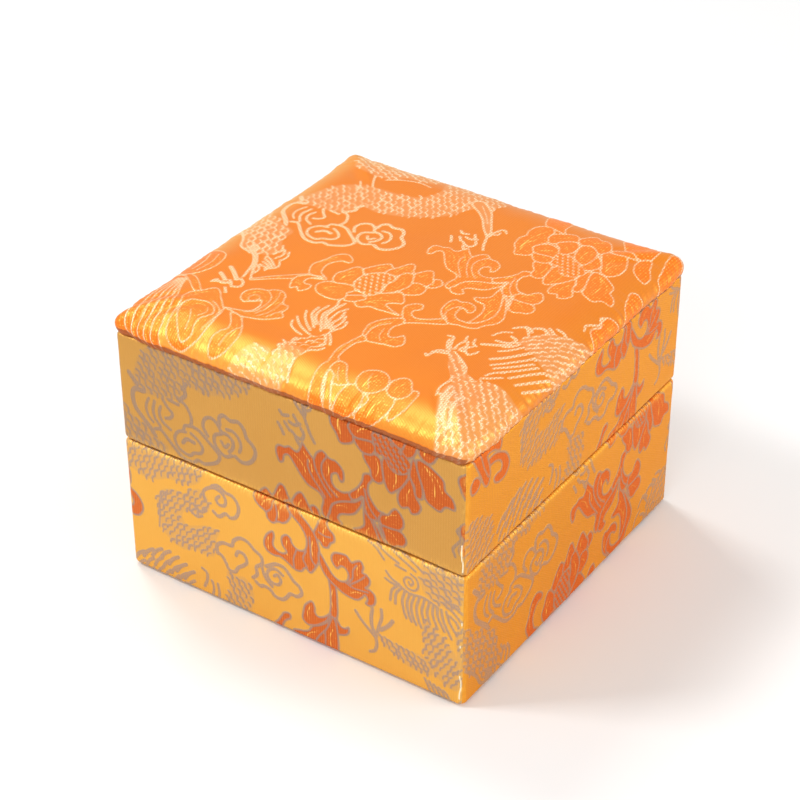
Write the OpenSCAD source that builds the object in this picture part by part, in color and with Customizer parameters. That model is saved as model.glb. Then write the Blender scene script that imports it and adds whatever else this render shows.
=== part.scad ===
// Square keepsake box in brocade over board, with a hinged lid, a padded top and a satin insert.
// The front is at -Y and the hinge is at +Y. The origin is the middle of the face it stands on.

/* [Box] */
// Width of the box over its cloth
box_w = 90; // [70:1:140]
// Depth of the box over its cloth, from front to hinge
box_d = 90; // [70:1:140]
// Height of the base, from the table to its rim
base_h = 34.7; // [26:0.1:70]
// Height of the lid's walls
lid_wall_h = 27.3; // [20:0.1:60]
// Gap between the two rims when the lid is closed
seam_gap = 0.6; // [0.4:0.1:1]

/* [Boards] */
// Thickness of the wall boards
wall_t = 2; // [1.6:0.1:3]
// Thickness of the floor board
floor_t = 2; // [1.5:0.1:3]
// Thickness of the lid's top board
roof_t = 2; // [1.5:0.1:3]
// Thickness of the lining cards
lining_t = 1.2; // [0.8:0.1:2]

/* [Cloth] */
// Thickness of the brocade
cloth_t = 0.4; // [0.3:0.05:0.6]
// Thickness of the satin
satin_t = 0.3; // [0.2:0.05:0.4]
// Thickness of the bottom sheet
sheet_t = 0.4; // [0.3:0.05:0.8]
// Margin between the bottom sheet and the base's sides
sheet_margin = 2; // [1:0.5:5]
// Radius of the covered corners, seen from above
corner_r = 1.6; // [1:0.1:2]
// Width of the brocade turned under the base and over the lid
hem_w = 12; // [6:1:20]
// Height of the brocade turned in behind each rim
turn_in = 8; // [3:0.5:12]

/* [Hinge] */
// Distance from the box's corners to the hinge cloth at the back
hinge_margin = 8; // [4:1:20]
// Slit between the hinge cloth's two leaves, where it bends
hinge_slit = 0.1; // [0.1:0.05:0.3]

/* [Lining and collar] */
// Height of the collar above the base's rim
collar_rise = 5; // [3:0.5:8]
// Clearance between the collar and the lid
collar_clear = 0.5; // [0.4:0.1:1]
// Headroom between the collar and the lid's lining
collar_head = 1; // [0.5:0.5:3]
// Height of the satin turned over the collar
collar_turn = 8; // [6:0.5:12]
// Fit between the lid's lining and its turned-in cloth
lid_lining_fit = 0.1; // [0.1:0.05:0.4]
// Thickness of the foam in the lid's ceiling
ceiling_t = 3; // [2:0.5:8]
// Fit between the ceiling and the lid's lining
ceiling_fit = 0.3; // [0.2:0.1:1]

/* [Insert] */
// Distance from the base's rim down to the insert's top
insert_drop = 3.5; // [2:0.5:8]
// Fit between the insert and the base's lining
insert_fit = 0.3; // [0.2:0.1:1]
// Diameter of the well in the insert
well_d = 52; // [20:1:54]
// Depth of the well
well_depth = 20; // [8:1:20]
// Radius of the well's rounded mouth
mouth_r = 4; // [2:0.5:5]
// Height of the satin turned down round the insert
insert_skirt = 15; // [5:1:16]

/* [Padded top] */
// Height of the padded top above the lid's walls
pad_h = 6.6; // [5:0.1:12]
// Reach of the padded top past the lid's walls
pad_over = 0.5; // [0:0.1:1.5]
// Rise of the crown, from the rolled edge to the middle
pad_crown = 0.5; // [0:0.1:2]
// Width of the rolled edge
pad_roll = 6; // [3:0.5:10]
// Height of the widest line above the lid's walls
pad_belly = 1.8; // [1:0.1:2.5]
// Tuck of the cover below its widest line
pad_tuck = 0.8; // [0.2:0.1:1]
// How far the middle of each side is drawn in
pad_draw = 0.4; // [0:0.1:0.6]
// Radius of the padded top's corners, seen from above
pad_corner_r = 4; // [2.5:0.5:8]
// Depth of the gathers at the corners
gather = 0.3; // [0:0.05:0.4]
// Number of gathers at each corner
gathers = 3; // [1:1:4]
// Thickness of the card under the pad
card_t = 1.2; // [0.8:0.1:2]
// Margin between the card and the lid's sides
card_margin = 1.5; // [1.5:0.1:3]

/* [Hidden] */

brocade_color = "#E5993A";
satin_color = "#E9B94E";
board_color = "#B79F7C";
foam_color = "#F1E7C6";
sheet_color = "#C0853A";

// Heights, from the table up
base_board_z = sheet_t + cloth_t;
floor_top = base_board_z + floor_t;
base_board_top = base_h - cloth_t;
hinge_z = base_h + seam_gap / 2;
lid_z = base_h + seam_gap;
lid_top = lid_z + lid_wall_h;
lid_board_z = lid_z + cloth_t;
lid_board_top = lid_top - cloth_t;
ceiling_z = lid_board_top - roof_t;
collar_top = base_h + collar_rise;
lid_lining_z = collar_top + collar_head;
insert_top = base_h - insert_drop;
pad_top = lid_top + pad_h;

// Insets from the box's outer faces
wall_inset = cloth_t;
room_inset = wall_inset + wall_t;
turned_inset = room_inset + cloth_t;
collar_inset = turned_inset + collar_clear;
lining_inset = collar_inset + satin_t;
lining_face = lining_inset + lining_t;
base_satin_face = lining_face + satin_t;
insert_inset = base_satin_face + insert_fit;
foam_inset = insert_inset + satin_t;
lid_lining_inset = turned_inset + lid_lining_fit;
lid_lining_face = lid_lining_inset + lining_t;
lid_satin_face = lid_lining_face + satin_t;
ceiling_inset = lid_satin_face + ceiling_fit;
card_inset = card_margin;

// Radius to which the well's satin runs on into the satin over the insert's top
well_lip = well_d / 2 + mouth_r + satin_t;

corner_steps = 6;
arc_step = 15;
well_faces = 96;
cut_over = 1;
pad_corner_n = 10;
pad_side_n = 6;
roll_steps = 4;
crown_steps = 2;

// Outline of the box at an inset, with its corners rounded where the inset leaves a radius
function box_outline(inset, r = corner_r) =
    let (hw = box_w / 2 - inset, hd = box_d / 2 - inset, ri = r - inset)
    ri <= 0
        ? [[hw, -hd], [hw, hd], [-hw, hd], [-hw, -hd]]
        : [for (q = [0 : 3]) each corner_arc(hw, hd, ri, q)];

// Centre of one of the four corner arcs, counted anticlockwise from the corner at +X +Y
function arc_centre(hw, hd, r, q) =
    [(q == 0 || q == 3 ? 1 : -1) * (hw - r), (q < 2 ? 1 : -1) * (hd - r)];

function corner_arc(hw, hd, r, q) = [
    for (i = [0 : corner_steps])
    let (a = 90 * (q + i / corner_steps))
    arc_centre(hw, hd, r, q) + r * [cos(a), sin(a)]
];

// Flat slab of the box's outline between two heights
module slab(inset, z0, z1, r = corner_r) {
    translate([0, 0, z0])
        linear_extrude(z1 - z0)
            polygon(box_outline(inset, r));
}

// Square ring between two insets and two heights
module ring(outer, inner, z0, z1) {
    difference() {
        slab(outer, z0, z1);
        slab(inner, z0 - cut_over, z1 + cut_over);
    }
}

// Board along the front or the back, which covers the ends of the side boards
module long_board(inset, t, z0, z1, side) {
    reach = box_d / 2 - inset;
    intersection() {
        slab(inset, z0, z1);
        translate([-box_w / 2, side > 0 ? reach - t : -reach, z0])
            cube([box_w, t, z1 - z0]);
    }
}

// Board along the left or the right, between the front and the back boards
module short_board(inset, t, z0, z1, side) {
    reach = box_w / 2 - inset;
    run = box_d / 2 - inset - t;
    translate([side > 0 ? reach - t : -reach, -run, z0])
        cube([t, 2 * run, z1 - z0]);
}

// Brocade wrapped round four walls: hem at the bottom, rim and turned-in edge at the top
module wrapped_cloth(h) {
    difference() {
        union() {
            ring(0, wall_inset, 0, h);
            ring(0, hem_w, 0, cloth_t);
            ring(0, turned_inset, h - cloth_t, h);
            ring(room_inset, turned_inset, h - turn_in, h);
        }
        translate([-hinge_half_w(), box_d / 2 - cloth_t, cloth_t])
            cube([2 * hinge_half_w(), cloth_t + cut_over, h]);
    }
}

function hinge_half_w() = box_w / 2 - hinge_margin;

// Leaf of the hinge cloth, flush with the brocade at the back
module hinge_leaf(z0, z1) {
    color(brocade_color)
        translate([-hinge_half_w(), box_d / 2 - cloth_t, z0])
            cube([2 * hinge_half_w(), cloth_t, z1 - z0]);
}

// Radius and height along the well's surface, at a depth under the satin
function well_arc(depth) = [
    for (a = [180 : -arc_step : 90])
    let (r = mouth_r - depth)
    [well_d / 2 + mouth_r + r * cos(a), insert_top - mouth_r + r * sin(a)]
];

function well_bottom(depth) = insert_top - well_depth - depth;

module well_void() {
    rotate_extrude($fn = well_faces)
        polygon(concat(
            [[0, well_bottom(satin_t)], [well_d / 2 + satin_t, well_bottom(satin_t)]],
            well_arc(satin_t),
            [[well_d / 2 + mouth_r, insert_top], [0, insert_top]]
        ));
}

module well_satin() {
    outer = well_arc(satin_t);
    inner = well_arc(0);
    last = len(inner) - 1;
    rotate_extrude($fn = well_faces)
        polygon(concat(
            [[0, well_bottom(satin_t)], [well_d / 2 + satin_t, well_bottom(satin_t)]],
            outer,
            [[well_lip, insert_top - satin_t], [well_lip, insert_top]],
            [for (i = [last : -1 : 0]) inner[i]],
            [[well_d / 2, well_bottom(0)], [0, well_bottom(0)]]
        ));
}

// Outline of the padded top: gathered corners, and sides drawn in between them
function pad_outline(hw, hd, r) = [
    for (q = [0 : 3])
    each concat(pad_corner(hw, hd, r, q), pad_side(hw, hd, r, q))
];

function pad_corner(hw, hd, r, q) = [
    for (i = [0 : pad_corner_n - 1])
    let (s = i / pad_corner_n, a = 90 * (q + s), fold = gather * (1 - cos(360 * gathers * s)) / 2)
    arc_centre(hw, hd, r, q) + (r - fold) * [cos(a), sin(a)]
];

function pad_side(hw, hd, r, q) =
    let (a = 90 * (q + 1), out = [cos(a), sin(a)],
         from = arc_centre(hw, hd, r, q) + r * out,
         to = arc_centre(hw, hd, r, (q + 1) % 4) + r * out)
    [for (j = [0 : pad_side_n - 1])
        let (s = j / pad_side_n)
        from * (1 - s) + to * s - out * pad_draw * sin(180 * s)];

// Inset and height of each ring of the padded top, from its tucked edge to near its middle
function pad_rings(z0, z1) =
    let (belly = z0 + pad_belly, top = z1 - pad_crown, reach = min(box_w, box_d) / 2)
    concat(
        [[pad_tuck, z0]],
        [for (i = [0 : roll_steps])
            let (a = 90 * i / roll_steps)
            [pad_roll * (1 - cos(a)), belly + (top - belly) * sin(a)]],
        [for (i = [1 : crown_steps])
            let (s = i / (crown_steps + 1), inset = pad_roll + (reach - pad_roll) * s)
            [inset, top + pad_crown * sin(90 * s)]]
    );

// Closed form of the padded top at a depth under its cover
module pad_form(depth) {
    z0 = lid_top + depth;
    z1 = pad_top - depth;
    rings = pad_rings(z0, z1);
    n = 4 * (pad_corner_n + pad_side_n);
    last = len(rings) - 1;
    points = concat(
        [for (ring = rings)
            each [for (p = pad_outline(
                    box_w / 2 + pad_over - depth - ring[0],
                    box_d / 2 + pad_over - depth - ring[0],
                    pad_corner_r + ring[0] / 4))
                [p[0], p[1], ring[1]]]],
        [[0, 0, z0], [0, 0, z1]]
    );
    foot = n * (last + 1);
    faces = concat(
        [for (k = [0 : last - 1], i = [0 : n - 1])
            [k * n + i, (k + 1) * n + i, (k + 1) * n + (i + 1) % n]],
        [for (k = [0 : last - 1], i = [0 : n - 1])
            [k * n + i, (k + 1) * n + (i + 1) % n, k * n + (i + 1) % n]],
        [for (i = [0 : n - 1]) [i, (i + 1) % n, foot]],
        [for (i = [0 : n - 1]) [last * n + (i + 1) % n, last * n + i, foot + 1]]
    );
    polyhedron(points, faces);
}

module bottom_sheet() {
    color(sheet_color)
        slab(sheet_margin, 0, sheet_t);
}

module base_floor_board() {
    color(board_color)
        slab(room_inset, base_board_z, floor_top);
}

module base_front_wall() {
    color(board_color)
        long_board(wall_inset, wall_t, base_board_z, base_board_top, -1);
}

module base_back_wall() {
    color(board_color)
        long_board(wall_inset, wall_t, base_board_z, base_board_top, 1);
}

module base_left_wall() {
    color(board_color)
        short_board(wall_inset, wall_t, base_board_z, base_board_top, -1);
}

module base_right_wall() {
    color(board_color)
        short_board(wall_inset, wall_t, base_board_z, base_board_top, 1);
}

module base_brocade() {
    color(brocade_color)
        translate([0, 0, sheet_t])
            wrapped_cloth(base_h - sheet_t);
}

module hinge_base_leaf() {
    hinge_leaf(base_board_z, hinge_z - hinge_slit / 2);
}

module base_lining_front() {
    color(satin_color)
        long_board(lining_inset, lining_t, floor_top, collar_top - satin_t, -1);
}

module base_lining_back() {
    color(satin_color)
        long_board(lining_inset, lining_t, floor_top, collar_top - satin_t, 1);
}

module base_lining_left() {
    color(satin_color)
        short_board(lining_inset, lining_t, floor_top, collar_top - satin_t, -1);
}

module base_lining_right() {
    color(satin_color)
        short_board(lining_inset, lining_t, floor_top, collar_top - satin_t, 1);
}

// Satin on the lining's inner faces, over the collar's top and down its outside
module base_lining_satin() {
    color(satin_color)
        union() {
            ring(lining_face, base_satin_face, floor_top, collar_top);
            ring(collar_inset, base_satin_face, collar_top - satin_t, collar_top);
            ring(collar_inset, lining_inset, collar_top - collar_turn, collar_top);
        }
}

module insert_foam() {
    color(foam_color)
        difference() {
            slab(foam_inset, floor_top, insert_top - satin_t);
            well_void();
        }
}

// Satin over the insert's top, into its well and down round its sides
module insert_satin() {
    color(satin_color)
        union() {
            difference() {
                slab(insert_inset, insert_top - satin_t, insert_top);
                translate([0, 0, insert_top - satin_t - cut_over])
                    cylinder(h = satin_t + 2 * cut_over, r = well_d / 2 + mouth_r, $fn = well_faces);
            }
            well_satin();
            ring(insert_inset, foam_inset, insert_top - insert_skirt, insert_top);
        }
}

module lid_front_wall() {
    color(board_color)
        long_board(wall_inset, wall_t, lid_board_z, lid_board_top, -1);
}

module lid_back_wall() {
    color(board_color)
        long_board(wall_inset, wall_t, lid_board_z, lid_board_top, 1);
}

module lid_left_wall() {
    color(board_color)
        short_board(wall_inset, wall_t, lid_board_z, lid_board_top, -1);
}

module lid_right_wall() {
    color(board_color)
        short_board(wall_inset, wall_t, lid_board_z, lid_board_top, 1);
}

module lid_top_board() {
    color(board_color)
        slab(room_inset, ceiling_z, lid_board_top);
}

module lid_brocade() {
    color(brocade_color)
        translate([0, 0, lid_top])
            mirror([0, 0, 1])
                wrapped_cloth(lid_wall_h);
}

module hinge_lid_leaf() {
    hinge_leaf(hinge_z + hinge_slit / 2, lid_board_top);
}

module lid_lining_front() {
    color(satin_color)
        long_board(lid_lining_inset, lining_t, lid_lining_z + satin_t, ceiling_z, -1);
}

module lid_lining_back() {
    color(satin_color)
        long_board(lid_lining_inset, lining_t, lid_lining_z + satin_t, ceiling_z, 1);
}

module lid_lining_left() {
    color(satin_color)
        short_board(lid_lining_inset, lining_t, lid_lining_z + satin_t, ceiling_z, -1);
}

module lid_lining_right() {
    color(satin_color)
        short_board(lid_lining_inset, lining_t, lid_lining_z + satin_t, ceiling_z, 1);
}

// Satin on the lining's inner faces and under its lower edges
module lid_lining_satin() {
    color(satin_color)
        union() {
            ring(lid_lining_face, lid_satin_face, lid_lining_z, ceiling_z);
            ring(lid_lining_inset, lid_satin_face, lid_lining_z, lid_lining_z + satin_t);
        }
}

module lid_ceiling_foam() {
    color(foam_color)
        slab(ceiling_inset + satin_t, ceiling_z - ceiling_t, ceiling_z);
}

module lid_ceiling_satin() {
    color(satin_color)
        difference() {
            slab(ceiling_inset, ceiling_z - ceiling_t - satin_t, ceiling_z);
            slab(ceiling_inset + satin_t, ceiling_z - ceiling_t, ceiling_z + cut_over);
        }
}

module pad_card() {
    color(board_color)
        slab(card_inset, lid_top + cloth_t, lid_top + cloth_t + card_t, pad_corner_r + card_inset);
}

module pad_foam() {
    color(foam_color)
        intersection() {
            pad_form(cloth_t);
            slab(-pad_over, lid_top + cloth_t + card_t, pad_top, 0);
        }
}

// Brocade drawn over the foam and the card and turned in beneath them
module pad_brocade() {
    color(brocade_color)
        difference() {
            pad_form(0);
            pad_form(cloth_t);
            slab(hem_w, lid_top - cut_over, lid_top + cloth_t + cut_over / 2);
        }
}

bottom_sheet();
base_floor_board();
base_front_wall();
base_back_wall();
base_left_wall();
base_right_wall();
base_brocade();
hinge_base_leaf();
base_lining_front();
base_lining_back();
base_lining_left();
base_lining_right();
base_lining_satin();
insert_foam();
insert_satin();
lid_front_wall();
lid_back_wall();
lid_left_wall();
lid_right_wall();
lid_top_board();
lid_brocade();
hinge_lid_leaf();
lid_lining_front();
lid_lining_back();
lid_lining_left();
lid_lining_right();
lid_lining_satin();
lid_ceiling_foam();
lid_ceiling_satin();
pad_card();
pad_foam();
pad_brocade();
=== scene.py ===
import math

import bpy
import numpy as np
from mathutils import Matrix, Vector


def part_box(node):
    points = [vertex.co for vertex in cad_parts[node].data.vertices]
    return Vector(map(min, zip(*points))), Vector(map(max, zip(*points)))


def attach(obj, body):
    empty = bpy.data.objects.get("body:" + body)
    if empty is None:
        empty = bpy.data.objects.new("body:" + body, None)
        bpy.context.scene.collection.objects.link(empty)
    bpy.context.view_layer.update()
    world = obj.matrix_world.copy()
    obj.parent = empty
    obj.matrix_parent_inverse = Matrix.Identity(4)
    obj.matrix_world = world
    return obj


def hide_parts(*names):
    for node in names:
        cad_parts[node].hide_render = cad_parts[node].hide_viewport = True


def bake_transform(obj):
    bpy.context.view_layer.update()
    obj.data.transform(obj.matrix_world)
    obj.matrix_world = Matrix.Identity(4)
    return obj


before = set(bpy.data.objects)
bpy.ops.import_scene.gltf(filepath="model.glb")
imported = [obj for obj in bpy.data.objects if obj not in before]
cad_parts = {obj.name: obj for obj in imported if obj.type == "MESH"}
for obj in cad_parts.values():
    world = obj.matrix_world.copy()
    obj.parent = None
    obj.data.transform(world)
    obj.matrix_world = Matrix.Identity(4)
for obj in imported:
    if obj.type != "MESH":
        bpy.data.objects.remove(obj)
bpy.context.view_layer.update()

MM = 0.001

# Sizes read from the frame, in millimetres


def node_box(name):
    """Lowest and highest corner of a CAD node, in millimetres."""
    low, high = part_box(name)
    return np.array(low) / MM, np.array(high) / MM


BASE_LOW, BASE_HIGH = node_box("base_brocade")
LID_LOW, LID_HIGH = node_box("lid_brocade")
PAD_LOW, PAD_HIGH = node_box("pad_brocade")
LEAF_LOW, LEAF_HIGH = node_box("hinge_base_leaf")
INSERT_LOW, INSERT_HIGH = node_box("insert_satin")
BASE_LINING_LOW, BASE_LINING_HIGH = node_box("base_lining_satin")
LID_LINING_LOW, LID_LINING_HIGH = node_box("lid_lining_satin")
CEILING_LOW, CEILING_HIGH = node_box("lid_ceiling_satin")

HALF = BASE_HIGH[0]
SIDE = 2 * HALF
HINGE_Z = LEAF_HIGH[2]

# Sizes of the cloth and of the boards that it wraps, in millimetres

# radii of the upright corners and of the long edges
CORNER_R = 1.6
EDGE_R = 0.8
# width of a rim, and thicknesses of the brocade and the satin
RIM_W = 2.4
CLOTH_T = 0.4
SATIN_T = 0.3
# how far the brocade is turned under the base and over the lid's top, and in behind the rims
HEM = 4.0
RIM_TURN = 3.0

# mesh steps of the walls, the padded top and the satin
GRID = 0.3
PAD_GRID = 0.35
SATIN_GRID = 1.0


def unit(x):
    """x held between 0 and 1."""
    return np.clip(x, 0, 1)


def bell(distance, width):
    """1 at no distance, falling smoothly to nothing over about twice the width."""
    return np.exp(-(distance / width) ** 2)


# Drawing tools: figures in millimetres of cloth, painted into distance fields

PARTS = ("fill", "line", "vein", "pale")
# a field's value away from every figure, and how far round a shape and a line the fields are worked out
FAR = 3.0
SHAPE_MARGIN = 2.5
LINE_MARGIN = 2.0
# half widths of the outlines and of a vein, and a vein's bend as a share of its length
OUTLINE = 0.27
STEM_OUTLINE = 0.25
LEG_OUTLINE = 0.34
VEIN_HALF = 0.13
VEIN_BEND = 0.12
# half the width and height of a seed stitch
SEED = 0.2
# how unevenly quills lie, in millimetres, lean, and vary in length and in width
QUILL_SHIFT = 0.24
QUILL_LEAN = 0.14
QUILL_LENGTHS = (0.8, 1.2)
QUILL_WIDTHS = (0.65, 1.0)
QUILL_BEND = 0.45


def curve(points, closed=False, steps=7):
    """Catmull-Rom curve through the points."""
    p = np.asarray(points, float)
    n = len(p)
    if n < 3:
        return np.array([p[0] * (1 - t) + p[-1] * t for t in np.linspace(0, 1, steps)])
    out = []
    for k in range(n if closed else n - 1):
        if closed:
            a, b, c, d = p[k - 1], p[k], p[(k + 1) % n], p[(k + 2) % n]
        else:
            b, c = p[k], p[k + 1]
            a = p[k - 1] if k > 0 else 2 * b - c
            d = p[k + 2] if k + 2 < n else 2 * c - b
        for t in np.linspace(0, 1, steps, endpoint=False):
            out.append(0.5 * (2 * b + (c - a) * t + (2 * a - 5 * b + 4 * c - d) * t * t
                              + (3 * b - a - 3 * c + d) * t ** 3))
    if not closed:
        out.append(p[-1])
    return np.array(out)


def segment_distance(x, y, path, widths=None):
    """Distance from grid points to a polyline, less its half width at the nearest point."""
    best = np.full(x.shape, 1e9)
    for k in range(len(path) - 1):
        ax, ay = path[k]
        ex, ey = path[k + 1] - path[k]
        along = unit(((x - ax) * ex + (y - ay) * ey) / max(ex * ex + ey * ey, 1e-12))
        d = np.hypot(x - ax - along * ex, y - ay - along * ey)
        if widths is not None:
            d = d - (widths[k] * (1 - along) + widths[k + 1] * along)
        np.minimum(best, d, out=best)
    return best


def inside_polygon(x, y, path):
    """Even-odd test of points against a closed outline."""
    inside = np.zeros(x.shape, bool)
    for k in range(len(path)):
        ax, ay = path[k - 1]
        bx, by = path[k]
        if ay == by:
            continue
        crosses = (ay > y) != (by > y)
        inside ^= crosses & (x < (bx - ax) * (y - ay) / (by - ay) + ax)
    return inside


class Cloth:
    """A rectangle of cloth on a regular grid, with the fields that the pattern is painted into."""

    def __init__(self, u, v):
        self.u, self.v = u, v
        for part in PARTS:
            setattr(self, part, np.full((len(v), len(u)), FAR))

    def window(self, path, margin):
        """The grid points near a path."""
        low, high = path.min(0) - margin, path.max(0) + margin
        across = slice(*np.searchsorted(self.u, [low[0], high[0]]))
        up = slice(*np.searchsorted(self.v, [low[1], high[1]]))
        return (up, across), *np.meshgrid(self.u[across], self.v[up])

    def add(self, part, where, distance):
        """Paint a figure into one of the fields."""
        field = getattr(self, part)
        field[where] = np.minimum(field[where], distance)

    def cover(self, part, where, signed):
        """Hide what one of the fields holds under a shape."""
        field = getattr(self, part)
        field[where] = np.where(signed < 0, np.maximum(field[where], -signed), field[where])

    def shape(self, points, outline=OUTLINE, part="fill"):
        """A closed shape: it covers what lies under it and gets an outline."""
        path = curve(points, closed=True)
        where, x, y = self.window(path, SHAPE_MARGIN)
        d = segment_distance(x, y, np.vstack([path, path[:1]]))
        signed = np.where(inside_polygon(x, y, path), -d, d)
        self.add(part, where, signed)
        self.cover("line", where, signed)
        self.cover("vein", where, signed)
        if outline:
            self.add("line", where, d - outline)

    def ribbon(self, points, widths, outline, part):
        """A stem or a leg along a centre line, with half widths that are spread evenly along it."""
        path = curve(points)
        half = np.interp(np.linspace(0, 1, len(path)), np.linspace(0, 1, len(widths)), widths)
        where, x, y = self.window(path, SHAPE_MARGIN + max(widths))
        signed = segment_distance(x, y, path, half)
        self.add(part, where, signed)
        self.cover("line", where, signed)
        self.add("line", where, np.abs(signed) - outline)

    def stroke(self, points, half, part="line"):
        """An open line of thread."""
        path = curve(points)
        where, x, y = self.window(path, LINE_MARGIN)
        self.add(part, where, segment_distance(x, y, path) - half)


def stem(cloth, points, *widths):
    """A stem in the flowers' colour."""
    cloth.ribbon(points, widths, STEM_OUTLINE, "fill")


def leg(cloth, points, *widths):
    """A pale leg."""
    cloth.ribbon(points, widths, LEG_OUTLINE, "pale")


def veins(cloth, points):
    """Short gold stitches up a petal, from the first point to each of the others."""
    start, *tips = points
    for tip in tips:
        side = np.array([start[1] - tip[1], tip[0] - start[0]]) * VEIN_BEND
        cloth.stroke([start, (start + tip) / 2 + side, tip], VEIN_HALF, "vein")


def seeds(cloth, outline, pitch, half):
    """Staggered rows of short slanted stitches that fill a flower's middle."""
    low, high = outline.min(0), outline.max(0)
    rows = np.arange(low[1] + pitch / 2, high[1], pitch * 0.87)
    x, y = np.meshgrid(np.arange(low[0], high[0], pitch), rows)
    x = x + pitch / 2 * (np.arange(len(rows)) % 2)[:, None]
    inside = inside_polygon(x, y, outline)
    for u, v in zip(x[inside], y[inside]):
        cloth.stroke([(u - SEED, v + SEED), (u + SEED, v - SEED)], half)


def quills(cloth, outline, angle, length, along, across, half, seed):
    """Curved slanted stitches in staggered rows, a little uneven, as scales or feathers."""
    path = curve(outline, closed=True)
    rng = np.random.default_rng(int(seed))
    t = math.radians(angle)
    way, side = np.array([math.cos(t), math.sin(t)]), np.array([-math.sin(t), math.cos(t)])
    reach = np.abs(path - path.mean(0)).max() * 1.5
    row, place = np.meshgrid(np.arange(-reach, reach, 1.1 * across), np.arange(-reach, reach, along))
    stagger = along / 2 * (np.arange(row.shape[1]) % 2)
    spots = path.mean(0) + (place + stagger)[..., None] * way + row[..., None] * side
    spots = spots.reshape(-1, 2)
    spots = spots + rng.uniform(-QUILL_SHIFT, QUILL_SHIFT, spots.shape)
    for spot in spots[inside_polygon(spots[:, 0], spots[:, 1], path)]:
        size = 0.95 * length * rng.uniform(*QUILL_LENGTHS)
        lean = rng.uniform(-QUILL_LEAN, QUILL_LEAN)
        run = (way + side * lean) * size / 2
        middle = spot + side * QUILL_BEND * size / 2
        cloth.stroke([spot - run, middle, spot + run], half * rng.uniform(*QUILL_WIDTHS))


def dashes(cloth, outline, *sizes):
    """The same stitches over a pale shape without an outline."""
    cloth.shape(outline, 0, "pale")
    quills(cloth, outline, *sizes)


FIGURES = {"shape": Cloth.shape, "line": Cloth.stroke, "stem": stem, "leg": leg, "veins": veins,
           "seeds": seeds, "quills": quills, "dashes": dashes}


def draw(cloth, drawing):
    """Draw figures in order: a word with its sizes, then the points u,v of one such figure on each line.

    The sizes are: for a shape, its outline's half width when it isn't the usual one; for a line, its half
    width; for a stem or leg, half widths along it; for seeds, pitch and half width; for dashes and quills,
    angle in degrees, length, pitch along, pitch across, half width, and the seed of their unevenness."""
    for line in drawing.strip().split("\n"):
        if line[0].isalpha():
            word, *sizes = line.split()
        elif line[0] != "#":
            points = np.array([point.split(",") for point in line.split()], float)
            FIGURES[word](cloth, points, *map(float, sizes))
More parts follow.
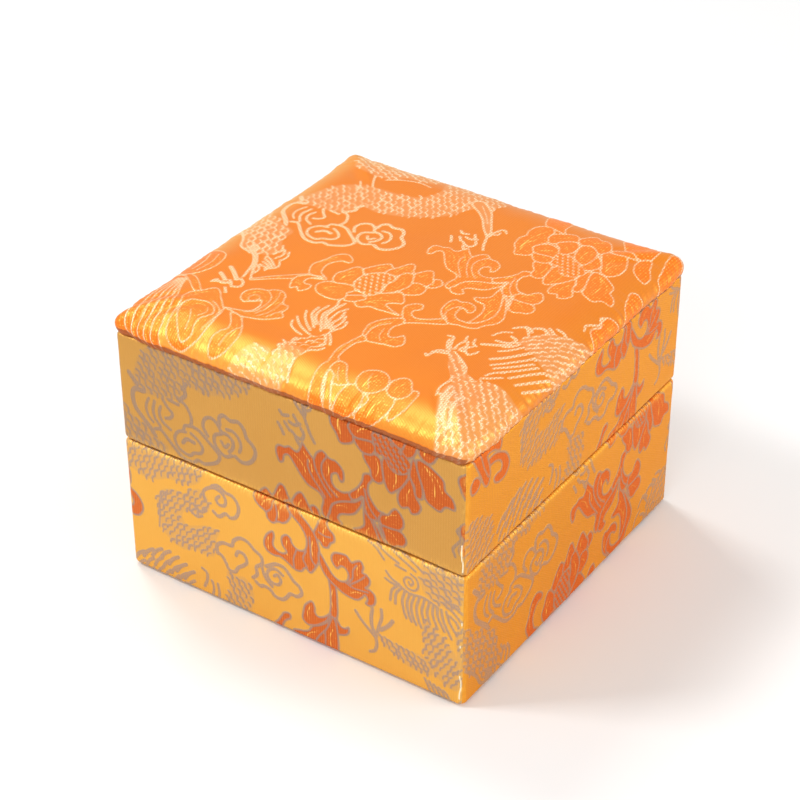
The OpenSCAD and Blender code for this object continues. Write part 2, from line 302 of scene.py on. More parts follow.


# The pattern, drawn in millimetres of cloth

# The dragon across the top left of the first repeat: body, mane, legs and claws.
DRAGON_A = """
dashes -56 1.9 2.3 1.25 0.36 3
4.6,60.4 5,65 6.6,69 9.4,72.4 13.6,74.6 18,75.2 23,75.4 27.6,76.6 29.6,79 30.4,82 29.6,88 44.4,88 45,82.4 \
41.6,79.6 39.4,76 37,72 33,68.8 28,66.4 23,65.4 19.4,65.8 18,62 12,60
dashes -30 1.8 2.2 1.3 0.4 4
5,86 6,81.8 9,80.4 14,79.8 18.4,81 20,83 26,84 26,88 5,88
line 0.36
13.2,80 14.4,77.4 15.8,75
11.8,75.8 13,74 13.6,72
line 0.3
16.4,79.4 19.4,81.2 24,82.6 27.6,82
# foreleg and claws
leg 1.6 1.4 1 0.9 0.5
41,81.6 44.2,79.2 46.4,76.4 48.4,73.4 50.4,70.6
line 0.24
42,81.4 45.2,78 47.4,75
line 0.4
50.2,70.8 51.2,68 52,66 53,64.2
line 0.36
50.2,71.4 51,72.6 51.3,74 52.3,74.7 53.3,73.7
line 0.34
50.6,71.2 52,72 52,73.2
line 0.42
44.2,69 45,68.2 46.4,68.6
47.8,69.2 48.7,67.8
46.6,67.2 48,66.8 49.4,67.6
43.6,65.8 44.4,64.6 45,63.4
45.4,66.6 46.6,65
47.2,65 48.4,64 49.8,63.8
49.6,66.6 50.3,65.4 50,64.2
48.2,63.4 49.2,62.2 50.6,61.4
# mane
line 0.5
19.3,66.2 18.7,65 18.9,63.2 17.8,62
line 0.42
16.6,61.6 18.8,60.6 20.2,58 19.8,55.8 18.3,55.2 17.8,53.8
14,60.4 16.8,60
12.4,60 13.8,58.2 15,56.9 14.2,55.6 13,55.2
line 0.4
11.8,57.8 11.3,56 12,54 14.2,52.6
10.2,58.6 9.6,56.2 10,54.2 11.4,52.4
line 0.36
8.6,58.8 7.7,56.6 8,54.4 9.4,52.8
line 0.6
3.4,63.6 4.4,62.4 5.4,61.4
line 0.62
7,60 4.8,59.8 3.9,57.8 4.6,55 6.4,53 8.4,51 9.8,49
dashes -62 2.3 2.7 1.2 0.4 6
-2,56 2,54 5,51.4 9,49.4 13,47.6 13,44 15,40 15,36.4 11,35.4 7.4,36 5,39.4 1,43 -2,47
line 0.4
1,43.6 3.4,41.4 5.4,39 6.8,36.4 8.8,35.2 11.2,34.8 13,33 14.2,30.8 15,28.2 15.7,25.6
line 0.36
10.6,36 12.6,34.6 14.2,32.4 15.4,29.8 16.6,27.4 17.8,25.4
line 0.34
9,37.6 11,36.4
18.6,35 19.5,33 17.6,30.8
15.4,31.4 16.6,30 16.8,28.4
# lower claws
line 0.6
10.9,27.4 13,25.9 15.2,23.8
line 0.58
10.6,24.2 12,23.3 13.2,22.4
line 0.5
11.3,20.6 12.4,21.1 13.8,21.2 15,22.2
line 0.42
15.2,19.8 16.6,18.2
line 0.4
15.8,24.6 17.2,23.6 17.7,21.8 16,20.8
line 0.42
14.2,22.8 15.6,21.4
line 0.44
11.6,21.6 11.2,20.2
# clouds
line 0.46
9.8,51.2 11.4,51.5 13.4,49.6 15.4,47.6 17.4,46.3 20,46.2 21.4,47.3 23,47 25,47.8 26.8,49 27.5,50.8 26,52.4 \
24,54 22.2,55.4 20,55.8
line 0.4
18.4,53.6 16.4,53 15.2,51 15.8,49 17.4,47.9 19.2,47.7 20.4,48.8 22.3,49.5 22.9,51.2 21.6,52.8 19.8,53.8
line 0.5
17.4,50.4 18.6,51.8 20.6,51.6
line 0.44
24.6,55 23.4,57 24,59.2 25.8,60 27.4,59 28.4,57.6 30.2,57.2 31.4,56 31.2,54.2 30.2,53
line 0.5
28,59.2 28,61 29.2,62 31,61.3 33,61.7 34.4,60.4 35.1,58.4 36.5,57.2 37.3,55.6 36.7,53.6 35.2,52 33.4,51.6 \
31.8,52.4
line 0.42
29.8,58.7 31.6,58.7 33,57.4 33.5,55.6 33,54
line 0.44
28.4,57 26.6,56 26.3,54.2 27.3,52.4 29.2,51.4 30.9,52.2
line 0.4
28.2,55 29.2,53.8 30.2,55
"""

# The phoenix at the right of the first repeat, and the plume in the middle of its lower edge.
PHOENIX_A = """
line 0.36
35.2,17.2 36.2,15.4 38.4,14.1 40.2,13.5
35.1,19 37,17 39.6,15.3 41.8,14.5
35.5,21.8 36.6,19.8 38.6,17.6 40.8,15.9
36.9,24.4 37.1,21.6 38.6,19.6 40.8,17.2
38.3,26 38,22.8 38.8,20.6 40.6,18.6
39,29 39.7,26.6 39.3,23 39.8,21.4 41.2,19.2 42.8,16.8
40.8,28.6 40.4,25.4 40.3,22.6 41.8,20 43,18
42.6,27 41.7,25 41.7,22.6 42.2,20.6 43.5,18.6
42.9,25.6 43.3,23 43.1,20.8 44,18.6
44,24.4 44.6,22 44.4,19.6 44.6,17.6
45.4,22.8 45.9,20.6 45,18.4 44.6,16.8
45,17 46.4,15.4 47.5,13.6
44.4,16.2 45.6,14.6 46.4,12.8 45.8,12
47.2,12 46.6,10.8 45.2,9.8 44.5,8 44.1,6 44.8,3 46,0
40,12 40,10.6 41.4,9.6
38.2,9.8 39.6,8.8 38.3,7.9 39.4,6.9 38.8,5.6 39.6,4.4
quills 52 1.9 2.3 1.1 0.32 8
40.2,11.6 41.6,14 43.4,17 44.8,14.6 46.6,12.2 45.4,10 43,9 41,9.6
dashes -48 1.3 1.9 1.25 0.34 9
39.8,9.4 42,9.4 44.4,9 44,5 45,0 44,-4 36,-4 38.6,1 39.4,5
dashes -20 1.3 1.9 1.2 0.34 10
32.4,3.6 33.8,5.6 36,6.1 38.2,5.2 38,0 36,-4 31,-4
# head, crest and beak
line 0.36
65.9,30.2 67.1,30.5 67.8,28.8 68.4,27.2 69.2,25.8
66.8,29.2 67.4,27.6 68.4,26
69.4,32.3 69.9,30.4 69.5,28.4 69.8,26.6
71.4,32.2 71.9,30.6 73,30
70.6,30.6 71.2,29 70.6,27.4
72.4,29.4 71.6,28.2 72.2,27.2
74.4,28.5 74.1,27.4 73.2,26.4 72.2,27 70.8,26.8
65.7,21.9 66.5,21.3 66.8,23 68,23.9 69.6,24.4
66.5,23.2 67.4,24.6 69.2,25.2
69.2,25.6 71,23 72.6,20.4 74.4,18.4 75.4,16.4 75,13.4 75.8,10.6
70.4,25.8 73.2,24 75.4,22.2 76.7,20.3 78.4,19.3 80,18.8
dashes -48 1.3 1.8 1.05 0.34 11
69.4,25.8 71.4,25 75,22.2 78,19.4 80,18.6 80,15 76.6,15.6 74.6,18 71.6,21.8
dashes -52 1.6 2.1 1.3 0.36 12
76,15.4 80,18.6 84,20.4 89,19 94,16 94,-4 86,-4 80,4 76.4,10.6
# wing
line 0.5
73.5,31.4 76,32.7 78.6,34.2
line 0.34
73.5,35.4 74.5,37.6 76.4,38.8
line 0.4
75.6,40.3 76.8,41.6 78.6,42.2 79.8,41
line 0.36
77.6,42.4 79.4,40.2 81.4,37.4
line 0.5
79.6,42.8 81.2,43.5 83.4,42
line 0.42
82,44.6 83.6,43.4 85,41.4
line 0.46
83.4,45.4 85.4,45 87,43
line 0.4
75.2,34.2 77.8,34.8 79.4,36
line 0.42
77,37.4 78.6,36.6 78.2,34.4
line 0.4
77.8,33 79.2,34 80.2,35.8
77.8,31 80,33 82,36.4
line 0.5
78,27.6 80.6,29.8 82.6,32.6 84,35.4
line 0.38
79.2,25.6 82,28.4 84.4,31.8 85.4,35
80.4,24.8 83.4,27.8 86,31.6
line 0.36
82.4,24.6 84.8,27.4 87.2,31.4
line 0.38
84.6,24 86.6,27.4 88.8,31.4
86.6,23 88.6,26.8 90.6,31
88.8,22.6 90.6,26.4 92,30
line 0.36
80.4,21.8 81.4,23.6 83,24.8
80.2,20.4 82,21.6 83.6,23.2
dashes 50 1.5 2 1.2 0.36 13
79.2,37 81,40.6 84,43 88,45.4 94,47 94,32 88,32 84.6,34 81.4,35.4
line 0.34
88.8,57.4 87.9,56.2 88.9,54.6 88,53 87,51.4 87.6,49.6
shape
89.4,58.4 88.6,56 89.4,54 88.4,51.4 90,49.6 94,49 94,59
"""

# The vine that runs from the sprig down past the lower leaf, and the leaves to its left.
VINE_A = """
shape
54.6,37.3 52.9,36.3 52.1,34.6 52.8,32.6 54,30.8 54.8,28.4 56.6,29.8 60,31.8 63.2,33.8 62,35.4 60,33.9 \
58,32.5 56.2,32.1 54.9,32.9 54.6,34.2 55.6,35.4 55.4,36.6
54.6,30.4 52.4,29.2 50.6,27 49.8,24.6 50.3,22 51.2,20 52.8,19 55,19.3 57.2,19.9 59,20.2 60,21.6 59.7,23.2 \
58.3,24.9 57.6,23.6 56,22.8 54.9,24.4 54.6,26.6 55.5,28.8
line 0.24
53.4,27.4 51.8,25.4 51.2,23 51.8,20.4
line 0.22
53.5,24.6 54,22.2 55.4,20.4
shape
51.2,20.2 50.3,17 49.7,14 50,11 50.6,8.6 50.1,6.6 50.5,4 51.6,0 53,-4 57,-4 54.6,0 52.8,4 52.4,6.4 52.2,8.4 \
52.4,9.8 51.5,11 51.2,13.8 51.6,17 52.8,19
52.2,8.4 53,9.8 54.8,9.3 56.2,7.2 57.6,5.3 58.5,4.6 56.8,3.4 55.2,3.6 54.4,5.2 53.2,6.2 52.4,6.6
line 0.22
53.8,8 54.6,6.4 56.2,4.2
line 0.3
52.6,5.4 54,2.4 55.6,-1
54.8,3.8 56.4,1 58,-2
# spiral leaf
shape
24.8,24.9 26.6,25.3 28.2,24.2 29,22.4 29.9,21.2 31.2,21 31.7,19.6 31.5,18.4 32.8,17.1 32.2,16 30.8,14.6 \
29.2,13.5 27.4,12.9 25.4,12.3 23.4,12.7 20.4,13.2 22.6,13.8 24.4,14.4 25.7,15.3 26.1,17 25.8,18.6 25,19.9 \
24.2,18.8 23,18 22.2,17.4 20.6,18.2 19.8,20.4 20.4,22.2 21.8,23.4 23.6,23.8
shape 0.22
22,19.4 22.4,20.8 23.4,21.1 24.2,20.2 23.8,19 22.8,18.4
line 0.24
24.2,23.6 25.9,22.2 26.8,20 26.9,17.6 26.5,15.6 24.8,13.9
line 0.22
26.4,24.6 27.4,22.6 27.8,20 27.8,17 27,14.6
29.3,21.6 29.5,19 29.2,16.6 28,14.2
31.2,18.6 30.4,16.8 29.8,15
# stem, bud and the leaf to its right
stem 0.6 0.9 0.9 0.5
4,20.6 7,19 9.8,16.6 12.2,14.6
shape
10.9,10.2 10,11.6 9.8,13.4 10.6,15 11.8,16 12.8,17.6 14,18.5 15.4,17.8 17,16 19,14 20.6,12.2 21.3,9 21.7,6 \
21.4,1 18,-2 14,0 12,6
11.9,9.2 12.4,11.4 14,12.4 16,12.9 18.4,11.8 19.7,9.8 19.2,8.2 18.3,6.8 18.7,4.4 19.6,2 18,0 15.6,2.6 \
13.6,5.2 12.4,7.4
line 0.24
14.6,8.8 16.4,6 17.4,3
line 0.22
17.4,11 18.3,9.4 17.4,7.6
line 0.24
16.6,13.8 18.6,12.8 20.4,11 20.9,8 20.8,4
shape
22.6,12.3 25.2,12.2 27,10.4 28.6,8.2 29.6,5.4 29,1 26,-1 24.4,3 24.8,5.6 25.8,7 25.2,8.8 23.9,10.6
line 0.24
27.8,8.4 27,5.6 27,2
# petal and drooping leaves on the left edge
shape
-3,32 1.6,32.6 5.8,31.8 7.4,29.8 7.8,27 7.5,24.6 6.2,22 3.6,20.4 0,21 -3,23
line 0.3
2.4,31 3.6,27.4 3.4,23
line 0.24
5,30.8 5.8,27 5,22.6
shape
-3,19 1,20 4.8,19.4 6.6,15.6 8.8,11 10.6,6 11.8,1 11,-4 -3,-4
veins
51,23 52.8,28
56.4,21 58.6,22.8
57,31.2 60.4,33.2
50.8,11 50.8,16.4
54,8.6 55.6,5.6
28.4,16 28.8,21.6
21.2,20 22.6,22.6
11.6,13.4 13.4,16.4
26.4,9.4 28,5
14,11 16.6,11.4
"""

# The large peony at the top right of the first repeat.
PEONY_A = """
shape
57,88 57.8,83.4 59.4,81.6 62.2,81.2 64.2,80.8 63.2,83.2 62.4,88
76.4,88 78.8,82.6 80.4,81.4 83,80.6 85.4,81.6 84.6,88
83.6,79.4 84.4,76.4 86,74.8 88.4,74.4 88.6,77 87,79.4 86,82 84.6,81.4
88,88 89,82 90.4,78.6 94,80 94,88
88.2,69.4 88.6,67 90,64 93.6,63 94,70 90,70.6
59.6,66.9 58.4,69 57.1,71 56.7,74 57.4,75.6 56.8,77.4 57.2,79.8 58.6,81.3 60.6,81.6 62,80 62.2,77.6 63.2,76 \
62.4,74 61.5,72 62,70.6 63,69.4 62.2,67.8
62,77.6 62.4,79.4 64.2,80.8 66.4,82 68,81 69.2,79.4 67.6,78.8 66,77.6 65,76 63.4,75.4
68.2,80.6 69,82.4 70.8,84 72.4,83.2 74.2,83.4 75.8,81.8 76.6,79.6 75.4,77.4 73.6,78.4 72,79.4 70.4,78.6 \
69,79.2
76.6,79.2 78.4,79 80.6,79.8 82.4,77 83.1,74.4 82.8,71.8 81.2,70 79.2,70.8 78.2,73 76.6,75.8 75.8,77.6
76.8,80 78.6,81.4 81,81.4 83.2,80.2 80.6,79.4 78.4,79
78.2,69.8 78.4,66.6 79.6,63.4 80.4,60.8 82,59.8 83.8,59.4 85.2,61 87.4,61.2 86.8,63.6 85,65 84.6,67.2 \
82.8,68.6 80.4,69.8
76.4,65.4 77.6,63 77.8,60.8 79.4,60.6 79.6,63 78.6,66.4 77.4,70
73.8,60.2 73.6,58 74.6,56.6 76.2,57.2 77,56 78.6,56.8 79.2,58.6 78,60.6 77.4,62.8 76.2,65.2 75,62.6
65.2,66.4 65.6,64.8 66.8,63.2 67.2,61.2 68.8,60.4 70.2,61.6 70,64 69.4,66.6 67.4,67.4
69.8,66.4 70,63.5 70.6,60.8 71.8,59.2 73.4,60.4 74.8,62 76.2,64.8 75.4,66 72.4,66 70.8,68
62.8,69.6 63.6,67.8 65.2,66.6 67.4,67 68.2,69 66.8,70.4 64.6,70.6
61.6,71.4 62,73.4 64,74.8 66.4,74.2 68,72.2 68.6,70.4 66,70 63.2,69.7
65,76 66,77.7 68,79 69.6,78 70.2,75.6 69.4,73.2 67.8,72.2 66.6,74.4
74.6,76.8 76.6,75.2 78.1,73 77.6,70.6 75.8,69.4 74.4,71 74.4,74
70.1,77.8 70.5,75.4 71.3,73 72.8,71.6 74.8,71.2 75.4,74.4 74.8,77.2 72.8,79 71,79
shape 0.2
67.4,72 69.4,73 71,72.6 73,71.4 75.6,69.6 76.8,67.8 75.8,65.6 73.4,64.6 71.6,65.6 70.4,67.6 68.4,67.6 \
68,69.6
seeds 1.35 0.3
67.4,72 69.4,73 71,72.6 73,71.4 75.6,69.6 76.8,67.8 75.8,65.6 73.4,64.6 71.6,65.6 70.4,67.6 68.4,67.6 \
68,69.6
veins
59.6,69 59,74 60.4,75.4 60,78.6
63.6,71 66,72.6
67,76 68.4,75
72.8,73 72.9,77
80,71.6 81.2,76 79.2,77
80,69 82.6,62.4 84.4,64
68.4,66.4 68.4,62
73,65 72.6,61
76,58.4 76.6,62
71.8,80.6 73.4,82
65,79 67,80.4
"""

# The curling acanthus sprig under the large peony.
SPRIG_A = """

# sheath that turns round the foot of the sprig
shape
66.8,51 68.4,49.2 69.8,46.8 71.2,44.2 72.1,41.6 71.5,39.4 70.1,37.8 69.3,36 67.6,35.1 65.4,34.9 63.6,34.3 \
62.2,34.9 60.8,35.8 59.4,37.4 58.8,39.6 58.8,41.6 59.7,43.1 61,42.8 62.2,43.5 63.9,43.3 65,42.2 65.2,40.9 \
64.5,40.1 63.6,40.8 62.5,41 62.3,39.4 62.7,37.8 63.9,36.8 65.6,36.7 67,36.9 68.4,38.2 69.3,40 69.8,42.2 \
69.4,44.6 68.4,47.2
line 0.24
62,41.2 61,40 60.5,38.2 60.9,36.8 62.2,35.4
# body
shape
65.3,54.6 65.1,51 65.2,48.4 64,47 62.3,46 63.6,45 65.4,44.8 66.5,43.2 66.9,41 66.8,38.8 66.7,36.8 68.2,38 \
69.3,40 69.8,42.2 69.4,44.6 68.4,47.2 67.2,49.8 66.3,52
# left leaf
43.6,56 42.8,58.4 43.4,60 45.2,60.2 46.4,60.8 48.2,60.2 49.2,61.4 49.8,63 51,61.8 52.6,60.2 53.2,61.6 \
54.2,62.7 55.2,62.9 56.6,61.8 58.4,61.6 60,60 60.2,57.8 59.4,57 58.5,58.7 57.2,57.9 57.1,56.2 58,54.8 \
59.8,54.4 61.6,55 62.4,53.2 60.4,52.2 58.4,51.3 57,50 56.4,48.2 55.6,46 54.6,46.6 54.3,48.2 54.8,50.4 \
53.6,52 51,52.8 49.2,54.6 47.6,56.8 46.2,58.5 45,58 44.6,56.4
line 0.24
51.2,59.4 51.2,57.4 52.4,55 54.2,52.8 55.4,51.2
52.6,60.2 53.2,57.6 54.8,54.6 56.8,52
56,62 54.7,59.6 54.8,57 56.4,54.4 58.4,52.6
# small leaf to the lower left
shape
64.8,54.8 62.8,53.2 60.6,52.4 58.4,51.3 56.9,49.8 56.4,47.8 55.9,46.3 57.1,45.1 58.6,45.1 59.5,46.2 \
58.5,47.2 59.2,48.5 61,49.2 62.7,50.1 63.9,51.8 64.7,53.4
# stem and right leaf
66.6,61.8 65.2,61.2 64.8,59.4 63.6,57.2 61.6,55 62.2,53.6 63.6,54.2 65,55.4 65.4,52.6 66.6,50.6 68,50.6 \
69.6,51 70.4,53.2 68.8,53.5 67.4,55 66.4,57 66.4,59 67.4,60.8
69.6,52.8 71.2,53.4 72,54.6 73,55.6 74.2,54.8 75,53.2 74.8,51.4 73.6,50.3 71.6,50 69.8,50 69,51.4
69,50 71.6,50.1 73.8,50.3 75.1,49.7 75.7,48.2 75,46.8 73.6,46.3 72.6,45.7 71.4,45.8 70.4,46.8 69.4,48.6
line 0.24
65.4,57.6 66,55 67,52.8 68.6,51 69.6,49.4 70.4,47.4
veins
65.8,46 67.6,43.6 66.4,48
68.4,40 68.6,44.4
60,38 60,41.4
47.6,59.4 50.6,55.6
50,61 52.2,56.6
56,60.6 56,57
56.4,54 58.8,52.8
58,50.2 61,50.8
70.4,52 73.2,54
70.6,49.4 73.4,47.6
63.4,54.4 65.2,58.4
"""

# The peony in the middle of the first repeat, with its leaf and stem.
PEONY_B = """
stem 0.3 0.55 0.75 0.85 0.5
17.8,25.6 21,28.7 24.2,31.2 27.4,33.6 31,34.6
shape
27,34.6 25.8,36.4 25.2,38.4 25.9,40.2 26.6,42 27,43.6 28,45 29.4,45.7 31,45 32,43.8 31.6,42.8 30.2,42.8 \
28.8,41.6 28.1,39.8 28.3,37.8 29,36.2 30.4,35.4 29,34.6
25.4,31.8 25.7,29.6 27,27.4 28,28.6 29.2,27.4 30.5,29.2 30.1,30.8 28.7,30.6 27.9,31.6 28.4,33.2 30.6,34.4 \
27.6,34.2 26.2,33
32.4,36 32,38 33,39.8 33.6,41.6 34.8,42.7 36.2,41.8 37.2,40.4 37.8,38.8 37.2,37 38.2,35.4 36,35.2 34,34.4 \
33,35
36,42.4 36.6,43.8 37.6,45.4 38.8,46.8 39.8,47.4 41,46.4 41.8,46.2 40.8,45 40.6,43.4 39.4,42.2 38,40.8 37,41
40.8,45 41.6,46.4 42.2,47.6 42.8,49 43.6,50.1 44.7,49.6 45.4,48 46.1,46.4 44.8,46 44.2,44.8 43.4,43.4 \
41.8,43.2 40.8,43.6
51,46.8 52,47.8 53,47.6 53.8,46.2 53.2,44.6 51.8,43.8 50.8,45
46.6,46.6 47.2,48.2 48.2,49.6 49.2,49.9 50.2,48.6 51,47.2 51.8,46 51.4,44.2 50,43 48.2,42.6 47.4,44.4
48,42.8 49.4,44 51.4,43.6 52.2,42 52,40.4 50.8,39.2 49,38.4 47.8,38.8 47.4,40.8
42.4,33.4 42,30.8 43,29.2 44.4,29.2 45.8,30.4 47.8,30.4 50,30.7 53,31 50.4,31.9 48.2,33 49.4,34.4 51,35.2 \
50.4,36.8 48.4,38.8 46.6,37.4 44.6,36
38.8,31 40,32.2 42,33.2 43.4,32.6 42.6,31 41,29.8 39.6,29.8
31.4,33 31.2,31.2 32.6,29.3 34.4,28.7 36.4,28.5 38.4,29 39.3,30.6 38.6,32.4 39.4,34 38.2,35.4 36.4,35.2 \
34.4,34.6 32.6,34.2
44.2,44.8 45,46.2 46.4,46.4 47.4,44.8 48.2,42.6 48.2,41 47.4,39 46.2,37.2 44.8,36.2 44.4,38 43.9,40 44.4,42
shape 0.26
37.2,38.8 38,41.2 39.6,42.8 41.2,43.6 43.4,43.4 44.4,41.6 43.8,39.6 44.2,37 44.4,35.4 43,33.8 41,34.2 \
39.4,34.4 37.8,36.2
seeds 1.45 0.33
37.2,38.8 38,41.2 39.6,42.8 41.2,43.6 43.4,43.4 44.4,41.6 43.8,39.6 44.2,37 44.4,35.4 43,33.8 41,34.2 \
39.4,34.4 37.8,36.2
veins
33,31.2 37.2,31 36.4,33.6
44,31 48.2,34.6 46.4,32.4
34,36.6 34.6,40.8 35.8,39.6
38,43 39.6,46
42.6,45 43.6,48.6
45.4,44.4 46.6,39.4
48.2,44.4 49,48
49,42.2 50.8,40.6
26.6,37.6 28.2,43.8
26.4,30 28.4,29.6
"""

# The peony at the lower edge of the first repeat.
PEONY_C = """
shape
71.2,9 72.7,8.9 73,6.6 72.8,3 71,0 69.6,4.4
63,4.4 64.6,2.4 63.6,-1.4 66.6,-4 69.6,0 69.8,4.4 67,6.8 64.6,6
59,4.6 61.8,4.6 63.6,1.6 62.6,-2 59.6,-4 58,1
59,8.4 59.6,10 61.4,11.2 63.4,11.1 65,9.8 65.8,7.4 64.8,5 62.8,4 60.8,4.4 59.4,6
65.8,9.4 66.6,11.4 67.8,12.1 69.2,11.6 70.4,9.8 71.4,8 70.6,6 68.6,5.4 66.6,6.4
line 0.22
61,9.8 61.4,7.6 63,5.2
veins
61.6,5 62.4,10 63.6,8.8
68,6.6 68.6,10.6
66.4,-1 67.4,4
"""

# The dragon, clouds and fins of the second repeat.
DRAGON_B = """
dashes 64 1.9 2.3 1.2 0.34 21
-14,36 -14,26 -8,27.4 -3,29.4 0,28.6 3,27.1 6.2,26.4 9.4,27.3 12,28.6 15,29 18,29.2 21,31 22.6,34 25,38 \
10,40 -6,40
dashes 52 1.8 2.3 1.2 0.34 22
8.6,20 9,23 11,25.4 14,26.4 17,26.6 19,28.4 21.6,29.4 23.6,27.4 23.6,24.6 21,22.6 18,22 16.2,21.2 15.8,19.2 \
17.2,18 20,19 23,20.2 26,19.8 25.2,17.4 24.8,14 24,12 21,11.6 19,12.2 17,10.8 14.6,10.6 12,11.6 10,13.4 \
9,16.6
line 0.24
8.8,14 9.2,18 9.6,22 12,25.4
line 0.4
19.4,24.6 21.2,23.4 22.8,24.4
line 0.36
18,22.6 20,21.6 21.6,22.4
# clouds
line 0.42
26.7,29.8 25.8,28.6 26.6,27.5 28.1,27.9 28.4,29.6 27.4,31 25.4,31.5 23.4,30.6 22.2,29 22.8,27
line 0.46
24.8,31.8 26.6,32.5 28.6,31.5 30.4,31.3 31.7,29.8 31.9,28 31.1,26 29.6,25.1 28.2,25.7 26.4,24.2 24.8,25
line 0.48
25.3,13.6 25.3,15.8 27,17.2 29.4,17.4 30,19 31.8,20.5 34,20.3 35.6,19 37.5,17.9 37.7,16 36.1,14.4 36.2,12.4 \
35,11
line 0.46
30.5,15.2 31.2,16.5 32.8,16.4 33.5,14.6 32.4,13.2 31,12 30,10.4 28.4,10.4 27.6,11.8 26.6,13.3 25.3,13.9
line 0.42
40.9,14 41.8,14.7 42.7,13.5 41.9,12 40.1,12 39,13.6 39.8,15.4 41.6,16.1 43.3,15.2
37.6,15.2 38.4,12.6 40.2,10.8
line 0.48
38.8,15.8 40.2,16.8 41.6,17.6 43.6,17.6 45,16.3 46.2,14.9 47.7,14 48.3,12.4 47,11 45.2,10.9 44.2,9.6 43,8.4 \
41,8.4 39.7,9.6 38,10 37,9.5 35.8,10.2
# shin and foot under the clouds
dashes -62 1.5 2.1 1.35 0.4 23
27.6,9.6 30,9.4 33,9.8 35,6 34,0 34,-4 26,-4 27,2 28.2,5
line 0.4
20.6,7.4 21.9,6.6 21.9,4.6 21,2.4
line 0.36
23.2,5 23.7,3 23,0
24.9,4.8 25.2,2 24.4,-1
# fins at the foot
dashes 48 1.8 2.3 1.3 0.36 24
-14,8 -8,9.6 -2,7 -1,2 -2,-4 -14,-4
"""

# The wing, foot and tail of the phoenix in the second repeat.
PHOENIX_B = """
dashes -36 1.9 2.2 1.2 0.36 31
79,40 79.4,33 79,29.6 80.6,26.4 84,25.4 87,25.4 90.4,28 96,30 96,40
line 0.28
76.3,28.2 76.8,27.4 77.4,28.2 77,29.2 75.8,29.2 75.1,28 75.8,26.6 77.5,26.3 78.6,27.6 78.3,29.6 76.8,30.5
line 0.3
74,26.2 76.6,25.2 80,25.6 83,24.8
line 0.33
70.6,28.6 72,27.2 74,26.4
70.4,26.6 72,26 73.6,26
73.4,25.8 72,24 71.6,21.2
74.4,25.6 73.1,23.6 72.9,20.8
75.4,25.4 74.7,22.6 75.1,19.8 75.7,18.2
76.6,25.2 75.9,22.6 76.2,20 77,17.8
77.8,25.2 77,22.4 77.3,19.6 78.2,17.5
79,25.2 78.3,22.4 78.6,19.6 79.5,17.3
80.2,25 79.6,22 80.1,19.2
81.4,24.8 80.9,22 81.7,19
82.4,24.6 82.3,22 83.5,18.8
83.4,24.6 83.6,22 85.2,18.8
84.4,24.4 85,21.6 87,17.6
85.6,24.4 86.6,21.6 89,18.4
66,34.6 68.2,33.6 70.2,31.4
68,35 71,33.2 73.8,32
71.6,35 75,33.2 78,31.6
73,31.2 75.6,30.8
69,36.4 73,35.4 77,34 80,32
85,26.2 88,24.4 90.4,21.6
84.8,27.6 88,26.2 91,24
86.6,23.6 88.2,22.4 88.8,20.8
# body and tail
dashes 58 1.6 2.1 1.25 0.34 32
80,19.4 83.4,18.2 86,16 88.4,13 89.2,6 88,4 84.4,5 81.4,8 80.2,11 80,15
dashes 50 1.6 2.1 1.25 0.34 33
88,20 92,20 96,16 96,-4 90,-4 89.4,6
dashes -62 1.5 1.7 1.05 0.32 34
68.6,10.4 72,10 76,9.6 80,9.6 82.4,8 82,5.4 77,5 73.6,6.3 70,8
line 0.42
62.6,14.3 64.2,12.4 66,10.8 67.6,9.4
line 0.46
67,16.7 66.7,14.4 66.9,12 68,9.8
line 0.42
69.3,17.6 69.4,15.4 68.8,13.2 68.3,11
line 0.5
72.2,15.7 71,13.8 69.2,12
line 0.42
66.3,4.7 67.6,5.6 68.1,7.4 67.9,9
"""

